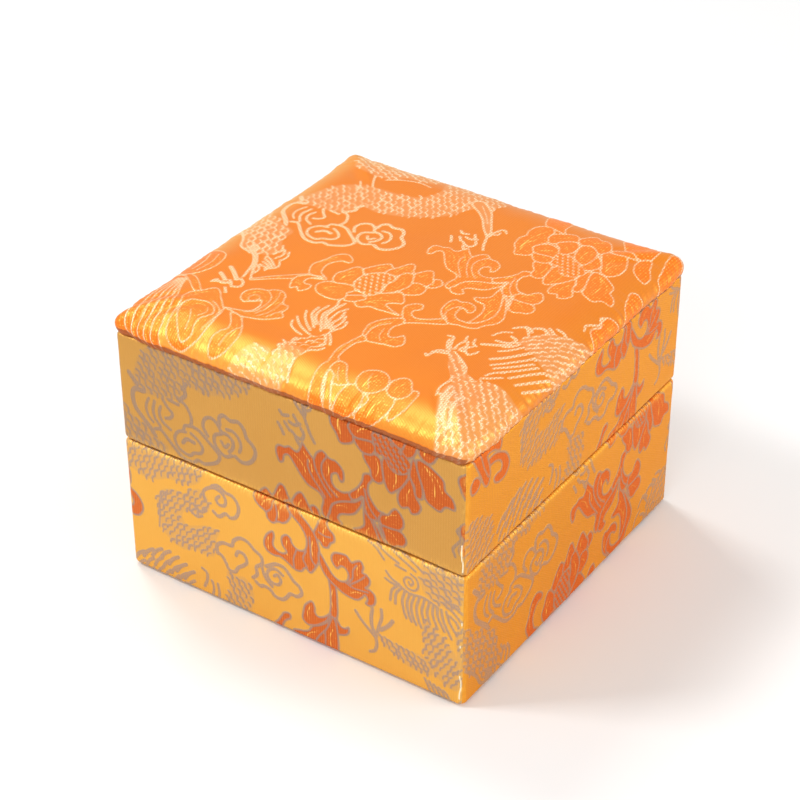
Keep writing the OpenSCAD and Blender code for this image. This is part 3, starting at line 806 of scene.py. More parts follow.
# The flowering vine of the second repeat.
VINE_B = """
stem 0.8 0.85 0.9 1 1 0.9 0.9 0.9
56.2,20.6 56.9,17 57,14 56.9,11 56.2,8 55,4.6 53.6,1 52,-3
# flower at the rim
shape
49.6,38.4 48.2,36.4 50.4,35.8 52.6,37.6 51.6,39
53,36.4 53.6,38.4 55.4,37.8 55.4,35.8
36.2,34.6 36.6,33 37.8,31.8 39.3,31 39.8,29.4 41.1,28.7 42.6,29.6 44,29.8 45.3,31 46,32.8 45.4,34.4 \
46.2,36.4 44,38.6 41,38.6 38,37.6 36.6,36
line 0.22
42,29.4 42.5,31.6 42,34.4
39.6,31 41,32.6 41.4,35
shape
52,30.6 53,33 53.6,35 54.6,36 55.5,34.4 56.2,33.2 57.3,32.2 57.4,30.6 56.4,29.6 55.7,28.2 54.4,27.9 53.6,29 \
52.4,29.4
line 0.22
53.4,31.4 55,31 56.4,31.2
# stem and left leaf
shape
44.6,35.4 46.4,33 48.4,31.2 49.8,29 50.1,26.8 49.5,24.9 47.9,24.1 46.3,25 45.6,26.6 44.4,26.8 43.3,25.4 \
43.6,23.6 44.6,22.3 43.4,21.4 41.7,21.7 40.9,23 41.3,25 41,26.3 39.8,25.4 38.8,23.8 38.5,21.8 39.3,20.4 \
41,19.9 43,20.2 45,19.3 46.7,18.4 48.4,18.7 49.6,20.1 50.8,19.3 51.9,20.6 53,22.8 53.5,25.2 53.1,28 \
52.3,30.2 50.8,32.2 48.8,34 46.8,35.6
line 0.24
52.3,21.6 51.2,23.4 51.1,26 50.9,29
50,20.4 49,22.4 49.9,24.8
line 0.22
46.6,18.8 46.4,21 47.2,23.8
# right leaf
shape
53.4,26 53.3,23.6 54.4,21 55.8,19.6 57.6,18.5 59.4,17.6 61.4,17.2 63.2,17.4 64.4,18.6 65.2,19.6 65.8,18.6 \
65.3,17.3 66.8,17.3 67.8,18.8 67.6,20.6 66.4,21.5 65.3,21.5 66.2,22.6 66.5,24.2 65.6,25.3 64.6,25.4 64.9,27 \
64.2,28.3 63,27.8 61.8,27 60.6,28.2 59,28.1 57.4,27.6 56.6,26.4 56.8,24.8 58,23.7 59,24.7 60.2,24.6 61,23.1 \
60.4,21.3 58.6,20.6 56.8,21.5 55.2,23.6
line 0.22
60.4,20.7 62.2,20.2 64.4,20.4 66,20.6
60.9,21 62,22.8 62.2,25 63.2,26.8
61.4,20.8 63.6,22.8 65.2,24.6
# flower at the foot
shape
56,10.4 54.4,8.8 52.8,8 51.8,8.7 51.8,10.2 51.1,11.5 50,10.8 49,9.4 48.6,7.6 48.4,5.8 49.6,4.6 51.4,5 53,6 \
55,8
57.4,9.8 58.6,8.1 59.8,8 60.7,8.7 60.8,7.4 60,6.3 58.8,5.7 57.8,5.5 57,7
56.2,9.6 55,7.6 53,5.8 51,4.6 50,3 48.6,2.2 47,1.8 45.6,0.8 45,-4 58,-4 58,1 57.9,4 57.6,7 57.1,9.2
line 0.24
56.2,9 54.8,5.6 52.6,2.4 51,-1
line 0.22
54.4,5 54.4,1 53.6,-2
shape
40.6,0.6 41.6,2 42.6,3.8 43.4,5 44.9,5.3 45,4 43.9,3.1 43,1.6 42.8,-1 41,-3
# leaf at the left end
-4,22 -1.4,22.4 1,21.7 3,20.4 4.2,18.4 4.2,16.6 3,14.9 1,14.4 -0.8,15 -1.4,16.4 0,17 1.2,17 1.6,18.2 \
0.8,19.6 -1,20.4 -3.6,20.4
-9.4,16.6 -10,18.6 -9,20.2 -7.4,19.8 -6.4,18.4 -7.4,16.8
-10,30 -9.4,25.6 -8,22.4 -6.4,19.6 -5,16.6 -3.6,16 -2.8,18.4 -3.4,21.4 -4,23.4 -1.6,23.4 0.6,22.4 1.3,24.6 \
1,27 -1,30
line 0.24
-7,27 -5.6,22 -3.6,18
veins
43,30.6 44,34.6
38.4,32.4 40.4,34.6
54.6,29.4 55.2,33.4
51.8,24 51.8,28.4
39.8,21 39.8,24.4
44.8,21.4 44.8,25.4
58.4,25 59.8,27.2
61.4,18.4 64.4,19.6
63.2,24 63.8,27
56.8,12 56.8,17.4
50,6 50.6,10
49,0.4 52,3.4
56,1 56.4,6
"""


def first_repeat():
    """The cloth's first repeat: dragon, phoenix, vine and peonies."""
    cloth = Cloth(np.arange(-6, 96, GRID), np.arange(-6, 96, GRID))
    draw(cloth, DRAGON_A)
    # locks at the foot of the mane
    for u, v in ((15, 41.2), (16.4, 40), (17.8, 39.6)):
        cloth.stroke([(u, v), (u + 0.9, v - 2), (u + 0.4, v - 4.2)], 0.36)
    for k in range(4):
        cloth.stroke([(14.6 + 0.3 * k, 35.6 - 1.2 * k), (16.8 + 0.2 * k, 34.6 - 1.1 * k),
                      (18.6 - 0.2 * k, 33 - 0.9 * k)], 0.32)
    draw(cloth, PHOENIX_A)
    # long neck feathers
    for u, v in ((76.6, 14.6), (78.2, 13.4), (80.4, 12.2)):
        cloth.stroke([(u, v), (u + 0.8, v - 4), (u + 3, v - 9)], 0.4)
    draw(cloth, VINE_A)
    # lines down the drooping leaf
    for k in range(5):
        cloth.stroke([(5 - 0.5 * k, 18.6), (6.8 - 1.1 * k, 13.4), (8.6 - 1.5 * k, 7.6), (9.8 - 1.8 * k, 0),
                      (10 - 1.8 * k, -4)], 0.3)
    for drawing in (PEONY_A, SPRIG_A, PEONY_B, PEONY_C):
        draw(cloth, drawing)
    return cloth


def second_repeat():
    """The cloth's second repeat: dragon, phoenix and flowering vine."""
    cloth = Cloth(np.arange(-15, 96, GRID), np.arange(-6, 40, GRID))
    draw(cloth, DRAGON_B)
    # fins at the foot
    for u, v in ((0.6, 1.6), (3.4, 3.4), (6, 4.6), (8.4, 4.9), (10.8, 4.3), (13, 3.2), (15.2, 2)):
        cloth.stroke([(u, v), (u + 1.4, v + 2), (u + 3, v + 3.2)], 0.48)
        cloth.stroke([(u + 0.6, v - 2.4), (u + 1.6, v - 0.6), (u + 3, v + 0.6)], 0.42)
        cloth.stroke([(u + 1, v - 5), (u + 1.8, v - 3.4), (u + 2.8, v - 2.2)], 0.4)
    draw(cloth, PHOENIX_B)
    # tail feathers
    for k in range(5):
        cloth.stroke([(80.4 + 1.2 * k, 4 - 0.3 * k), (81.6 + 1.2 * k, 1.6), (82.2 + 1.3 * k, -2)], 0.32)
    draw(cloth, VINE_B)
    return cloth


class Cut:
    """A piece of cloth cut from a drawn repeat, sampled at the points of a mesh."""

    def __init__(self, repeat, u, v):
        self.u, self.v = u, v
        across = np.clip((u - repeat.u[0]) / (repeat.u[1] - repeat.u[0]), 0, len(repeat.u) - 1.001)
        up = np.clip((v - repeat.v[0]) / (repeat.v[1] - repeat.v[0]), 0, len(repeat.v) - 1.001)
        i, j = across.astype(int), up.astype(int)
        s, t = across - i, up - j
        for part in PARTS:
            field = getattr(repeat, part)
            low = field[j, i] * (1 - s) + field[j, i + 1] * s
            high = field[j + 1, i] * (1 - s) + field[j + 1, i + 1] * s
            setattr(self, part, low * (1 - t) + high * t)

    def relief(self):
        """Height of the woven figures over the ground, in millimetres."""
        return 0.07 * unit(0.5 - self.line / 0.5) + 0.05 * unit(-self.fill / 0.6)


REPEAT_A = first_repeat()
REPEAT_B = second_repeat()


# Mesh helpers

# outward and along directions of each wall, seen from outside with along to the right
SIDES = {
    "front": ((0, -1), (1, 0)),
    "left": ((-1, 0), (0, -1)),
    "back": ((0, 1), (-1, 0)),
    "right": ((1, 0), (0, 1)),
}


def make_object(name, verts, faces):
    mesh = bpy.data.meshes.new(name)
    mesh.from_pydata([tuple(v) for v in verts], [], faces)
    mesh.update()
    mesh.polygons.foreach_set("use_smooth", [True] * len(mesh.polygons))
    obj = bpy.data.objects.new(name, mesh)
    bpy.context.scene.collection.objects.link(obj)
    return obj


def make_cloth(name, points, close=False, flip=False):
    """Quads over a grid of points in millimetres; close joins the last column to the first."""
    rows, cols = points.shape[:2]
    j, i = np.meshgrid(np.arange(rows - 1), np.arange(cols if close else cols - 1), indexing="ij")
    after = (i + 1) % cols
    low, high = j * cols, (j + 1) * cols
    quads = np.stack([low + i, low + after, high + after, high + i], -1).reshape(-1, 4)
    if flip:
        quads = quads[:, ::-1]
    return make_object(name, points.reshape(-1, 3) * MM, quads.tolist())


def set_vectors(obj, name, x, y, z):
    """Store a vector at each point of a mesh."""
    attribute = obj.data.attributes.new(name, "FLOAT_VECTOR", "POINT")
    attribute.data.foreach_set("vector", np.stack([x, y, z], -1).astype(np.float32).ravel())


def set_floats(obj, name, values):
    """Store a number at each point of a mesh."""
    attribute = obj.data.attributes.new(name, "FLOAT", "POINT")
    attribute.data.foreach_set("value", np.asarray(values, np.float32).ravel())


def add_pattern(obj, cut, edge=0.0):
    set_vectors(obj, "cloth", cut.u, cut.v, 0 * cut.u)
    set_vectors(obj, "pattern", cut.fill, cut.line, cut.vein)
    set_floats(obj, "pale", cut.pale)
    set_floats(obj, "edge", edge + 0 * cut.pale)


def waves(x, y, seed, sizes, amounts):
    """Smooth bumps from a few crossed sine waves, the same on every run."""
    rng = np.random.default_rng(seed)
    total = np.zeros(np.broadcast(x, y).shape)
    for size, amount in zip(sizes, amounts):
        for _ in range(4):
            a, phase = rng.uniform(0, np.pi), rng.uniform(0, 2 * np.pi)
            pitch = size * rng.uniform(0.8, 1.25)
            total += amount / 4 * np.sin(2 * np.pi * (x * np.cos(a) + y * np.sin(a)) / pitch + phase)
    return total


def arc_points(cx, cz, r, a0, a1, count=5):
    """Points on an arc from angle a0 to a1, in degrees."""
    return [(cx + r * math.cos(math.radians(a)), cz + r * math.sin(math.radians(a)))
            for a in np.linspace(a0, a1, count)]


def run_length(path):
    """Length along a path at each of its points."""
    return np.concatenate([[0], np.cumsum(np.hypot(*np.diff(path, axis=0).T))])


def resample(path, step):
    """The same path at an even step, with the length along it."""
    p = np.asarray(path, float)
    along = run_length(p)
    s = np.linspace(0, along[-1], int(round(along[-1] / step)) + 1)
    return np.stack([np.interp(s, along, p[:, k]) for k in (0, 1)], -1), s


def square_radius(p, q, power):
    """Radius of the rounded square through each point, nearness to its corner, and the larger distance."""
    big = np.maximum(np.abs(p), np.abs(q))
    corner = np.minimum(np.abs(p), np.abs(q)) / np.maximum(big, 1e-9)
    return big * (1 + corner ** power) ** (1 / power), corner, big


def wall_points(profile, side):
    """Rows of points that carry a wall's profile along its side and halfway round both corners."""
    out, along = (np.array(v, float) for v in SIDES[side])
    arc = CORNER_R * math.pi / 4
    straight = HALF - CORNER_R
    count = int(round((2 * straight + 2 * arc) / GRID)) + 1
    s = np.linspace(-straight - arc, straight + arc, count)
    angle = np.clip(np.abs(s) - straight, 0, None) / CORNER_R
    points = []
    for inset, z in profile:
        r = CORNER_R - inset
        if r > 0:
            x = np.clip(s, -straight, straight) + np.sign(s) * r * np.sin(angle)
            d = straight + r * np.cos(angle)
        else:
            reach = HALF - inset
            x = np.clip(s, -straight, straight) * reach / straight
            d = np.full_like(s, reach)
        xy = d[:, None] * out + x[:, None] * along
        points.append(np.column_stack([xy, np.full(count, z)]))
    normal = np.cos(angle)[:, None] * out + (np.sign(s) * np.sin(angle))[:, None] * along
    return np.array(points), s, normal


# Materials


class Nodes:
    """Short names for building the node tree of a material or a world."""

    def __init__(self, owner, shader="Principled BSDF"):
        owner.use_nodes = True
        self.owner = owner
        self.tree = owner.node_tree
        self.shader = self.tree.nodes[shader]

    def put(self, socket, value):
        if isinstance(value, bpy.types.NodeSocket):
            self.tree.links.new(value, socket)
        elif isinstance(value, (tuple, list)) and len(value) == 3 and socket.type == "RGBA":
            socket.default_value = (*value, 1)
        else:
            socket.default_value = value

    def new(self, kind, *inputs):
        """A node with its first inputs set."""
        node = self.tree.nodes.new(f"ShaderNode{kind}")
        for socket, value in zip(node.inputs, inputs):
            self.put(socket, value)
        return node

    def math(self, kind, *inputs, clamp=False):
        node = self.new("Math", *inputs)
        node.operation = kind
        node.use_clamp = clamp
        return node.outputs[0]

    def times(self, a, b):
        return self.math("MULTIPLY", a, b)

    def times_plus(self, a, b, c, clamp=False):
        return self.math("MULTIPLY_ADD", a, b, c, clamp=clamp)

    def mix(self, factor, a, b):
        """Colour a where the factor is 0, and b where it is 1."""
        node = self.new("Mix")
        node.data_type = "RGBA"
        self.put(node.inputs[0], factor)
        self.put(node.inputs[6], a)
        self.put(node.inputs[7], b)
        return node.outputs[2]

    def attribute(self, name, out="Vector"):
        node = self.new("Attribute")
        node.attribute_name = name
        return node.outputs[out]

    def split(self, vector):
        return self.new("SeparateXYZ", vector).outputs

    def stretch(self, vector, across, up):
        """Cloth coordinates scaled across and up."""
        node = self.new("VectorMath", vector, (across, up, 1.0))
        node.operation = "MULTIPLY"
        return node.outputs[0]

    def step(self, value, low, high, to_low=0.0, to_high=1.0):
        """A smooth step from one value to another between low and high."""
        node = self.new("MapRange")
        node.interpolation_type = "SMOOTHSTEP"
        for socket, given in zip(node.inputs, (value, low, high, to_low, to_high)):
            self.put(socket, given)
        return node.outputs[0]

    def noise(self, vector, scale, detail=2.0, roughness=0.5):
        node = self.new("TexNoise", vector)
        node.inputs["Scale"].default_value = scale
        node.inputs["Detail"].default_value = detail
        node.inputs["Roughness"].default_value = roughness
        return node.outputs["Fac"]

    def wave(self, value, pitch, phase=0.0):
        """0 to 1 sine of a length in millimetres."""
        turns = self.times_plus(value, 2 * math.pi / pitch, phase)
        return self.times_plus(self.math("SINE", turns), 0.5, 0.5)

    def bump(self, height, distance, strength):
        node = self.new("Bump")
        node.inputs["Strength"].default_value = strength
        node.inputs["Distance"].default_value = distance
        self.put(node.inputs["Height"], height)
        self.tree.links.new(node.outputs[0], self.shader.inputs["Normal"])

    def finish(self, **values):
        """Set the shader's sockets and give the material."""
        sockets = {"color": "Base Color", "rough": "Roughness", "metal": "Metallic", "aniso": "Anisotropic",
                   "level": "Specular IOR Level", "tint": "Specular Tint"}
        for key, value in values.items():
            self.put(self.shader.inputs[sockets[key]], value)
        return self.owner


def linear(rgb):
    """Linear colour of an 8-bit display colour."""
    return tuple(c / 255 / 12.92 if c <= 10 else ((c / 255 + 0.055) / 1.055) ** 2.4 for c in rgb)


# display colours of the painted glints on the front-left edge and of the painted shade where the padded
# top's roll tucks under, and their values in the edge field
PAINTED_GLINT = (255, 244, 214)
TUCK_SHADE = (132, 52, 24)
PAINTED_GLINT_EDGE = 2.2
TUCK_SHADE_EDGE = -1.0
# pitches of the weave, in millimetres, and the height of its bumps
RIB = 0.62
TWILL = 0.5
STITCH = 0.84
THREAD_HEIGHT = 0.12


def brocade(name, ground, ground_dark, flower, flower_dark, thread, gold, tone, glint, bead=0.3, shine=0.5,
            relief=0.8, thin=0.0, painted_roll_highlight=0.0, level=0.4, tint=None, gloss=0.0):
    """Figured silk: a ribbed satin ground, flowers in a warmer weft, and outlines in pale metal thread.

    tone shades the scales, glint is the gold in the petals, bead breaks the outlines into stitches, shine is
    the metal's share, thin narrows the outlines and painted_roll_highlight paints a highlight on the rolled
    edges, mixing them towards gold."""
    ground, ground_dark, flower, flower_dark, thread, gold, glint_colour, tuck_shade = map(
        linear, (ground, ground_dark, flower, flower_dark, thread, gold, PAINTED_GLINT, TUCK_SHADE))
    n = Nodes(bpy.data.materials.new(name))
    cloth = n.attribute("cloth")
    u, v, _ = n.split(cloth)
    fill, line, vein = n.split(n.attribute("pattern"))
    pale = n.attribute("pale", "Fac")
    edge = n.attribute("edge", "Fac")
    drift = n.noise(cloth, 0.35)
    broad = n.noise(cloth, 0.06)
    slub = n.noise(n.stretch(cloth, 2.8, 1.1), 1.0, 3.0, 0.7)
    speck = n.noise(n.stretch(cloth, 1.1, 2.4), 1.0, 1.0)
    fray = n.noise(n.stretch(cloth, 2.6, 0.5), 1.0)
    # the weave: ribs and a twill that sway a little, and stitches laid like bricks
    sway = n.times_plus(drift, 1.4, slub)
    rib = n.wave(u, RIB, sway)
    twill = n.wave(n.times_plus(u, 0.55, v), TWILL, sway)
    row = n.math("FLOOR", n.math("DIVIDE", u, RIB))
    dash = n.wave(n.times_plus(row, 0.5 * STITCH, v), STITCH)
    stitch = n.step(n.times(rib, dash), 0.06, 0.4)
    # where each figure lies
    fill_mask = n.step(fill, -0.1, 0.08, 1.0, 0.0)
    pale_mask = n.step(pale, -0.3, 0.3, 1.0, 0.0)
    line_mask = n.step(line, -0.12 - thin, 0.14 - thin, 1.0, 0.0)
    line_mask = n.times(line_mask, n.times_plus(stitch, bead, 1 - bead, clamp=True))
    vein_mask = n.times(n.step(vein, -0.08, 0.12, 1.0, 0.0), n.times(fill_mask, n.step(rib, 0.15, 0.5)))
    fleck_mask = n.times(n.step(speck, 0.56, 0.7), n.times(fill_mask, rib))
    fray_and_highlight_mask = n.times(edge, n.step(fray, 0.4, 0.62))
    # the weave's uneven tone, then a painted highlight: the ground mixed towards gold where the edge field
    # marks a rolled edge
    shade = n.times_plus(slub, 0.45, n.times_plus(rib, 0.16, n.times(twill, 0.16)))
    shade = n.times_plus(broad, 0.35, shade, clamp=True)
    body = n.mix(shade, ground_dark, ground)
    body = n.mix(n.times(edge, n.times_plus(broad, 0.6 * painted_roll_highlight, 0.5 * painted_roll_highlight)), body, gold)
    streak = n.times_plus(rib, 0.5, n.times(slub, 0.7), clamp=True)
    color = n.mix(fill_mask, body, n.mix(streak, flower_dark, flower))
    color = n.mix(n.times(pale_mask, tone), color, thread)
    color = n.mix(n.times(fleck_mask, glint), color, gold)
    color = n.mix(vein_mask, color, gold)
    color = n.mix(n.times(line_mask, 0.94), color, thread)
    # loose thread ends along the folded edges, painted gold as a highlight where the edges catch the light
    color = n.mix(n.times(fray_and_highlight_mask, max(0.0, 0.75 - 4.0 * painted_roll_highlight)), color, gold)
    # painted glints of light in near white on the worn threads of the front-left edge
    color = n.mix(n.step(edge, 1.2, 1.8), color, glint_colour)
    # painted shade in dark red-brown where the padded top's roll tucks under onto the lid's wall
    color = n.mix(n.step(edge, -0.8, -0.2, 0.75, 0.0), color, tuck_shade)
    height = n.times_plus(rib, 0.22, n.times(twill, 0.25))
    for mask, amount in ((fill_mask, 0.35), (line_mask, 0.8), (slub, 0.25), (fray_and_highlight_mask, 0.4)):
        height = n.times_plus(mask, amount, height)
    n.bump(height, THREAD_HEIGHT * MM, relief)
    rough = n.times_plus(fill_mask, 0.06, 0.37 - gloss)
    rough = n.times_plus(line_mask, -0.04, rough)
    rough = n.times_plus(slub, 0.08, rough)
    metal = n.times_plus(line_mask, -0.2, shine)
    return n.finish(color=color, rough=rough, metal=metal, level=level, tint=tint or ground)


def satin(name, color, dark):
    """Plain lining satin with a fine weave and soft shade changes."""
    n = Nodes(bpy.data.materials.new(name))
    cloth = n.attribute("cloth")
    u, v, _ = n.split(cloth)
    drift = n.noise(cloth, 0.12, 3.0)
    weave = n.times(n.wave(u, 0.34, drift), n.wave(v, 0.3))
    slub = n.noise(n.stretch(cloth, 0.25, 3.0), 1.0)
    tone = n.times_plus(slub, 0.6, n.times(drift, 0.4), clamp=True)
    n.bump(n.times_plus(slub, 0.5, weave), 0.06 * MM, 0.6)
    color = n.mix(tone, linear(dark), linear(color))
    return n.finish(color=color, rough=n.times_plus(slub, 0.1, 0.3), aniso=0.4, level=0.55)


def fibre(name, color, dark, scale, rough=0.9, depth=0.1):
    """Board, paper or foam: a fine mottled grain, with its depth in millimetres."""
    n = Nodes(bpy.data.materials.new(name))
    position = n.new("TexCoord").outputs["Object"]
    grain = n.noise(position, scale, 4.0, 0.7)
    cloudy = n.noise(position, scale / 12)
    tone = n.times_plus(grain, 0.6, n.times(cloudy, 0.5), clamp=True)
    n.bump(grain, depth * MM, 0.7)
    return n.finish(color=n.mix(tone, linear(dark), linear(color)), rough=rough)


# The same brocade dresses every face, coloured face by face as each one is lit. On the left and back walls
# its gold ground is painted sheen.
SHEEN_SIDE_BROCADE = brocade(
    "brocade_side_sheen", ground=(243, 186, 90), ground_dark=(226, 160, 64), flower=(222, 122, 60),
    flower_dark=(200, 92, 38), thread=(166, 142, 132), gold=(255, 206, 104), tone=0.22, glint=0.25)
# The lid's left wall: the same cloth, painted in shade.
SHADED_LID_SIDE_BROCADE = brocade(
    "brocade_lid_side_shaded", ground=(214, 162, 88), ground_dark=(192, 136, 60), flower=(208, 104, 48),
    flower_dark=(184, 80, 32), thread=(154, 130, 116), gold=(250, 196, 96), tone=0.22, glint=0.25)
# The front and right walls: the same cloth, painted darker and more orange as they are lit less.
SHADED_FRONT_BROCADE = brocade(
    "brocade_front_shaded", ground=(240, 165, 58), ground_dark=(222, 142, 42), flower=(230, 118, 42),
    flower_dark=(208, 92, 28), thread=(176, 142, 118), gold=(250, 190, 84), tone=0.18, glint=0.2)
# The top keeps the cloth's own orange ground. Its outline thread is painted paler where it catches the
# light, and its rolled edges get a painted highlight.
TOP_BROCADE = brocade(
    "brocade_top", ground=(238, 132, 2), ground_dark=(220, 108, 0), flower=(252, 134, 10),
    flower_dark=(234, 98, 4), thread=(255, 232, 190), gold=(255, 214, 104), tone=0.12, glint=0.7, bead=0.7,
    shine=0.4, relief=0.5, thin=0.07, painted_roll_highlight=0.45, level=0.75, tint=(1.0, 0.88, 0.56), gloss=0.08)
SATIN = satin("lining_satin", (240, 190, 84), (222, 160, 58))
BOARD = fibre("greyboard", (176, 156, 126), (140, 120, 92), 900)
CARD = fibre("lining_card", (226, 214, 190), (204, 188, 158), 900)
FOAM = fibre("foam", (240, 228, 192), (222, 204, 160), 1400, 1.0, 0.3)
PAPER = fibre("bottom_paper", (188, 128, 58), (166, 104, 40), 700)


def finish_piece(obj, material, body, slot, *nodes):
    """Give a piece its material and its body, and hide the CAD nodes that it stands for. The slot is not
    used.
    """
    obj.data.materials.append(material)
    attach(obj, body)
    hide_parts(*nodes)


def finish_cad_nodes():
    """Board, card, foam and paper on the solids that no cloth stands for."""
    finish = {"base_floor_board": BOARD, "lid_top_board": BOARD, "pad_card": BOARD, "bottom_sheet": PAPER,
              "insert_foam": FOAM, "lid_ceiling_foam": FOAM, "pad_foam": FOAM}
    for body in ("base", "lid"):
        for side in SIDES:
            finish[f"{body}_{side}_wall"] = BOARD
            finish[f"{body}_lining_{side}"] = CARD
    for name, material in finish.items():
        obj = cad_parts[name]
        obj.data.materials.clear()
        obj.data.materials.append(material)


# Brocade on the walls

# sizes and amounts of a wall's soft bumps, and of its hem's small waves
SOFT = ((38.0, 17.0, 7.0), (0.10, 0.07, 0.03))
HEM_WAVES = ((21.0, 8.0), (0.12, 0.06))
HEM_SAG = 0.05
# how fast the bumps come in from a wall's foot and top, and from its ends, as shares per millimetre
FOOT_FADE = 0.6
END_FADE = 0.5
# how far the frayed threads and their painted highlight reach from the opening and from the upright edges
OPENING_FRAY_AND_HIGHLIGHT = 1.1
UPRIGHT_FRAY_AND_HIGHLIGHT = 0.9
# the lid's front-left corner hangs lower by this much, over this reach
CORNER_DROP = 0.3
CORNER_REACH = 5.0
# half width of the painted glints of light on the front-left edge's worn threads, and their heights
PAINTED_GLINT_HALF = 0.26
PAINTED_GLINTS = {"base": ((1.6, 9.0), (15.6, 17.2), (21.6, 23.4)), "lid": ((35.8, 43.5),)}
# each wall's cloth, the repeat it is cut from, its shifts along and up, and how far it runs off the thread
WALLS = {
    ("base", "left"): (SHEEN_SIDE_BROCADE, REPEAT_B, 0.0, 0.0, 0.0, 0.0),
    ("base", "front"): (SHADED_FRONT_BROCADE, REPEAT_A, 0.0, -34.0, 0.0, 0.0),
    ("base", "right"): (SHADED_FRONT_BROCADE, REPEAT_B, 0.0, 0.0, 0.0, 0.0),
    ("base", "back"): (SHEEN_SIDE_BROCADE, REPEAT_A, 0.0, -34.0, 0.0, 0.0),
    ("lid", "left"): (SHADED_LID_SIDE_BROCADE, REPEAT_A, 0.0, -10.0, 0.0, 0.0),
    ("lid", "front"): (SHADED_FRONT_BROCADE, REPEAT_B, 11.4, 38.2, 0.02, 0.05),
    ("lid", "right"): (SHADED_FRONT_BROCADE, REPEAT_A, 0.0, -10.0, 0.0, 0.0),
    ("lid", "back"): (SHEEN_SIDE_BROCADE, REPEAT_B, 12.0, 36.0, 0.0, 0.0),
}


def base_profile():
    """Inset and height along the base's cloth, from under its foot to inside its rim."""
    low, rim = BASE_LOW[2], BASE_HIGH[2]
    path = [(HEM, low), (EDGE_R, low)]
    path += arc_points(EDGE_R, low + EDGE_R, EDGE_R, 270, 180)
    path += arc_points(EDGE_R, rim - EDGE_R, EDGE_R, 180, 90)
    path += [(RIM_W, rim)]
    path += arc_points(RIM_W, rim - CLOTH_T, CLOTH_T, 90, 0, 3)
    return path + [(RIM_W + CLOTH_T, rim - RIM_TURN)]


def lid_profile():
    """Inset and height along the lid's cloth, from inside its rim to under the padded top."""
    low, top = LID_LOW[2], LID_HIGH[2]
    path = [(RIM_W + CLOTH_T, low + RIM_TURN)]
    path += arc_points(RIM_W, low + CLOTH_T, CLOTH_T, 0, -90, 3)
    path += arc_points(EDGE_R, low + EDGE_R, EDGE_R, 270, 180)
    path += arc_points(EDGE_R, top - EDGE_R, EDGE_R, 180, 90)
    return path + [(HEM, top)]


def wall_panel(body, side, cut, seed):
    """One wall's brocade, with the repeat that is cut for it painted on."""
    path, length = resample(base_profile() if body == "base" else lid_profile(), GRID)
    points, s, normal = wall_points(path, side)
    # the cloth runs on past the wall's foot and top, under the hem and in behind the rim
    inset, z = path.T
    wall = np.abs(inset) < 0.02
    first, last = np.flatnonzero(wall)[[0, -1]]
    height = z.copy()
    height[:first] = z[first] - (length[first] - length[:first])
    height[last:] = z[last] + (length[last:] - length[last])
    across, up = np.meshgrid(s + HALF, height)
    repeat, u_shift, v_shift, u_slope, v_slope = cut
    cloth = Cut(repeat, across * (1 - u_slope) - u_shift, up + across * v_slope - v_shift)
    z_at = np.interp(length, length[wall], z[wall])
    on_wall = unit((z_at - z_at.min()) * FOOT_FADE) * unit((z_at.max() - z_at) * FOOT_FADE)
    lift = cloth.relief() + waves(*np.meshgrid(s, height), seed, *SOFT) * on_wall[:, None]
    lift = lift * (inset < RIM_W / 2)[:, None] * unit((HALF - np.abs(s)) * END_FADE)
    points[..., :2] += lift[..., None] * normal
    # the opening's hem is uneven on the lid; on both, its frayed threads along the opening get a painted
    # gold highlight
    opening = BASE_HIGH[2] if body == "base" else LID_LOW[2]
    near = bell(up - opening, OPENING_FRAY_AND_HIGHLIGHT)
    if body == "lid":
        points[..., 2] += near * (waves(s, 0 * s, seed + 9, *HEM_WAVES) - HEM_SAG)
        from_corner = np.hypot(points[..., 0] + HALF, points[..., 1] + HALF)
        points[..., 2] -= CORNER_DROP * near * bell(from_corner, CORNER_REACH)
    # the upright edges' frayed threads get the painted gold highlight as well
    edge = np.maximum(near, 0.6 * bell(HALF - np.abs(s), UPRIGHT_FRAY_AND_HIGHLIGHT))
    # painted glints of light on the worn threads of the front-left edge, at the given heights
    if side == "left":
        off = across - across.max() + 0.5 + 0.16 * np.sin(0.8 * up)
        for low, high in PAINTED_GLINTS[body]:
            fade = unit((up - low) * 2) * unit((high - up) * 2)
            edge = np.maximum(edge, PAINTED_GLINT_EDGE * fade * bell(off, PAINTED_GLINT_HALF))
    obj = make_cloth(f"{body}_cloth_{side}", points)
    add_pattern(obj, cloth, edge)
    return obj


def build_walls():
    for index, ((body, side), (finish, *cut)) in enumerate(WALLS.items()):
        panel = wall_panel(body, side, cut, 40 + index)
        finish_piece(panel, finish, body, "brocade", f"{body}_brocade")


# Padded top

PAD_HALF = PAD_HIGH[0]
PAD_FOOT = PAD_LOW[2]
# width of the rolled edge, height of its belly, tuck at its foot, strip glued under it, and the crown's rise
PAD_ROLL = 11.0
PAD_BELLY = 1.8
PAD_TUCK = 0.8
PAD_GLUED = 2.5
PAD_CROWN = 0.35
# how square its plan is
PAD_SQUARE = 22.0
# bumps: sizes and amounts of the edge's dips, the soft quilting, the fine gathers and the wander of the
# painted shade's start
PAD_DIPS = ((26.0, 11.0), (0.35, 0.16))
PAD_SOFT = ((34.0, 15.0), (0.12, 0.05))
PAD_GATHERS = ((1.7, 3.1), (0.15, 0.1))
PAD_WANDER = ((9.0, 3.0), (0.22, 0.12))
# the corners' folds: height, how many would go into a full turn, and reach of the deepest, back-left ones
PAD_FOLD = 0.3
FOLDS_ROUND = 50
DEEP_FOLDS = 16.0
# width of the band above the glued edge that the fine gathers cross, and where the bumps fade out
GATHERS_IN = 5.5
GATHERS_RUN = 7.0
GLUE_FADE = 1.5
# corners with an ear, and its size: towards the hinge is -1 first, towards the left is -1 second
EARS = ((-1, 1, 0.7), (1, 1, 0.6), (-1, -1, 0.3))
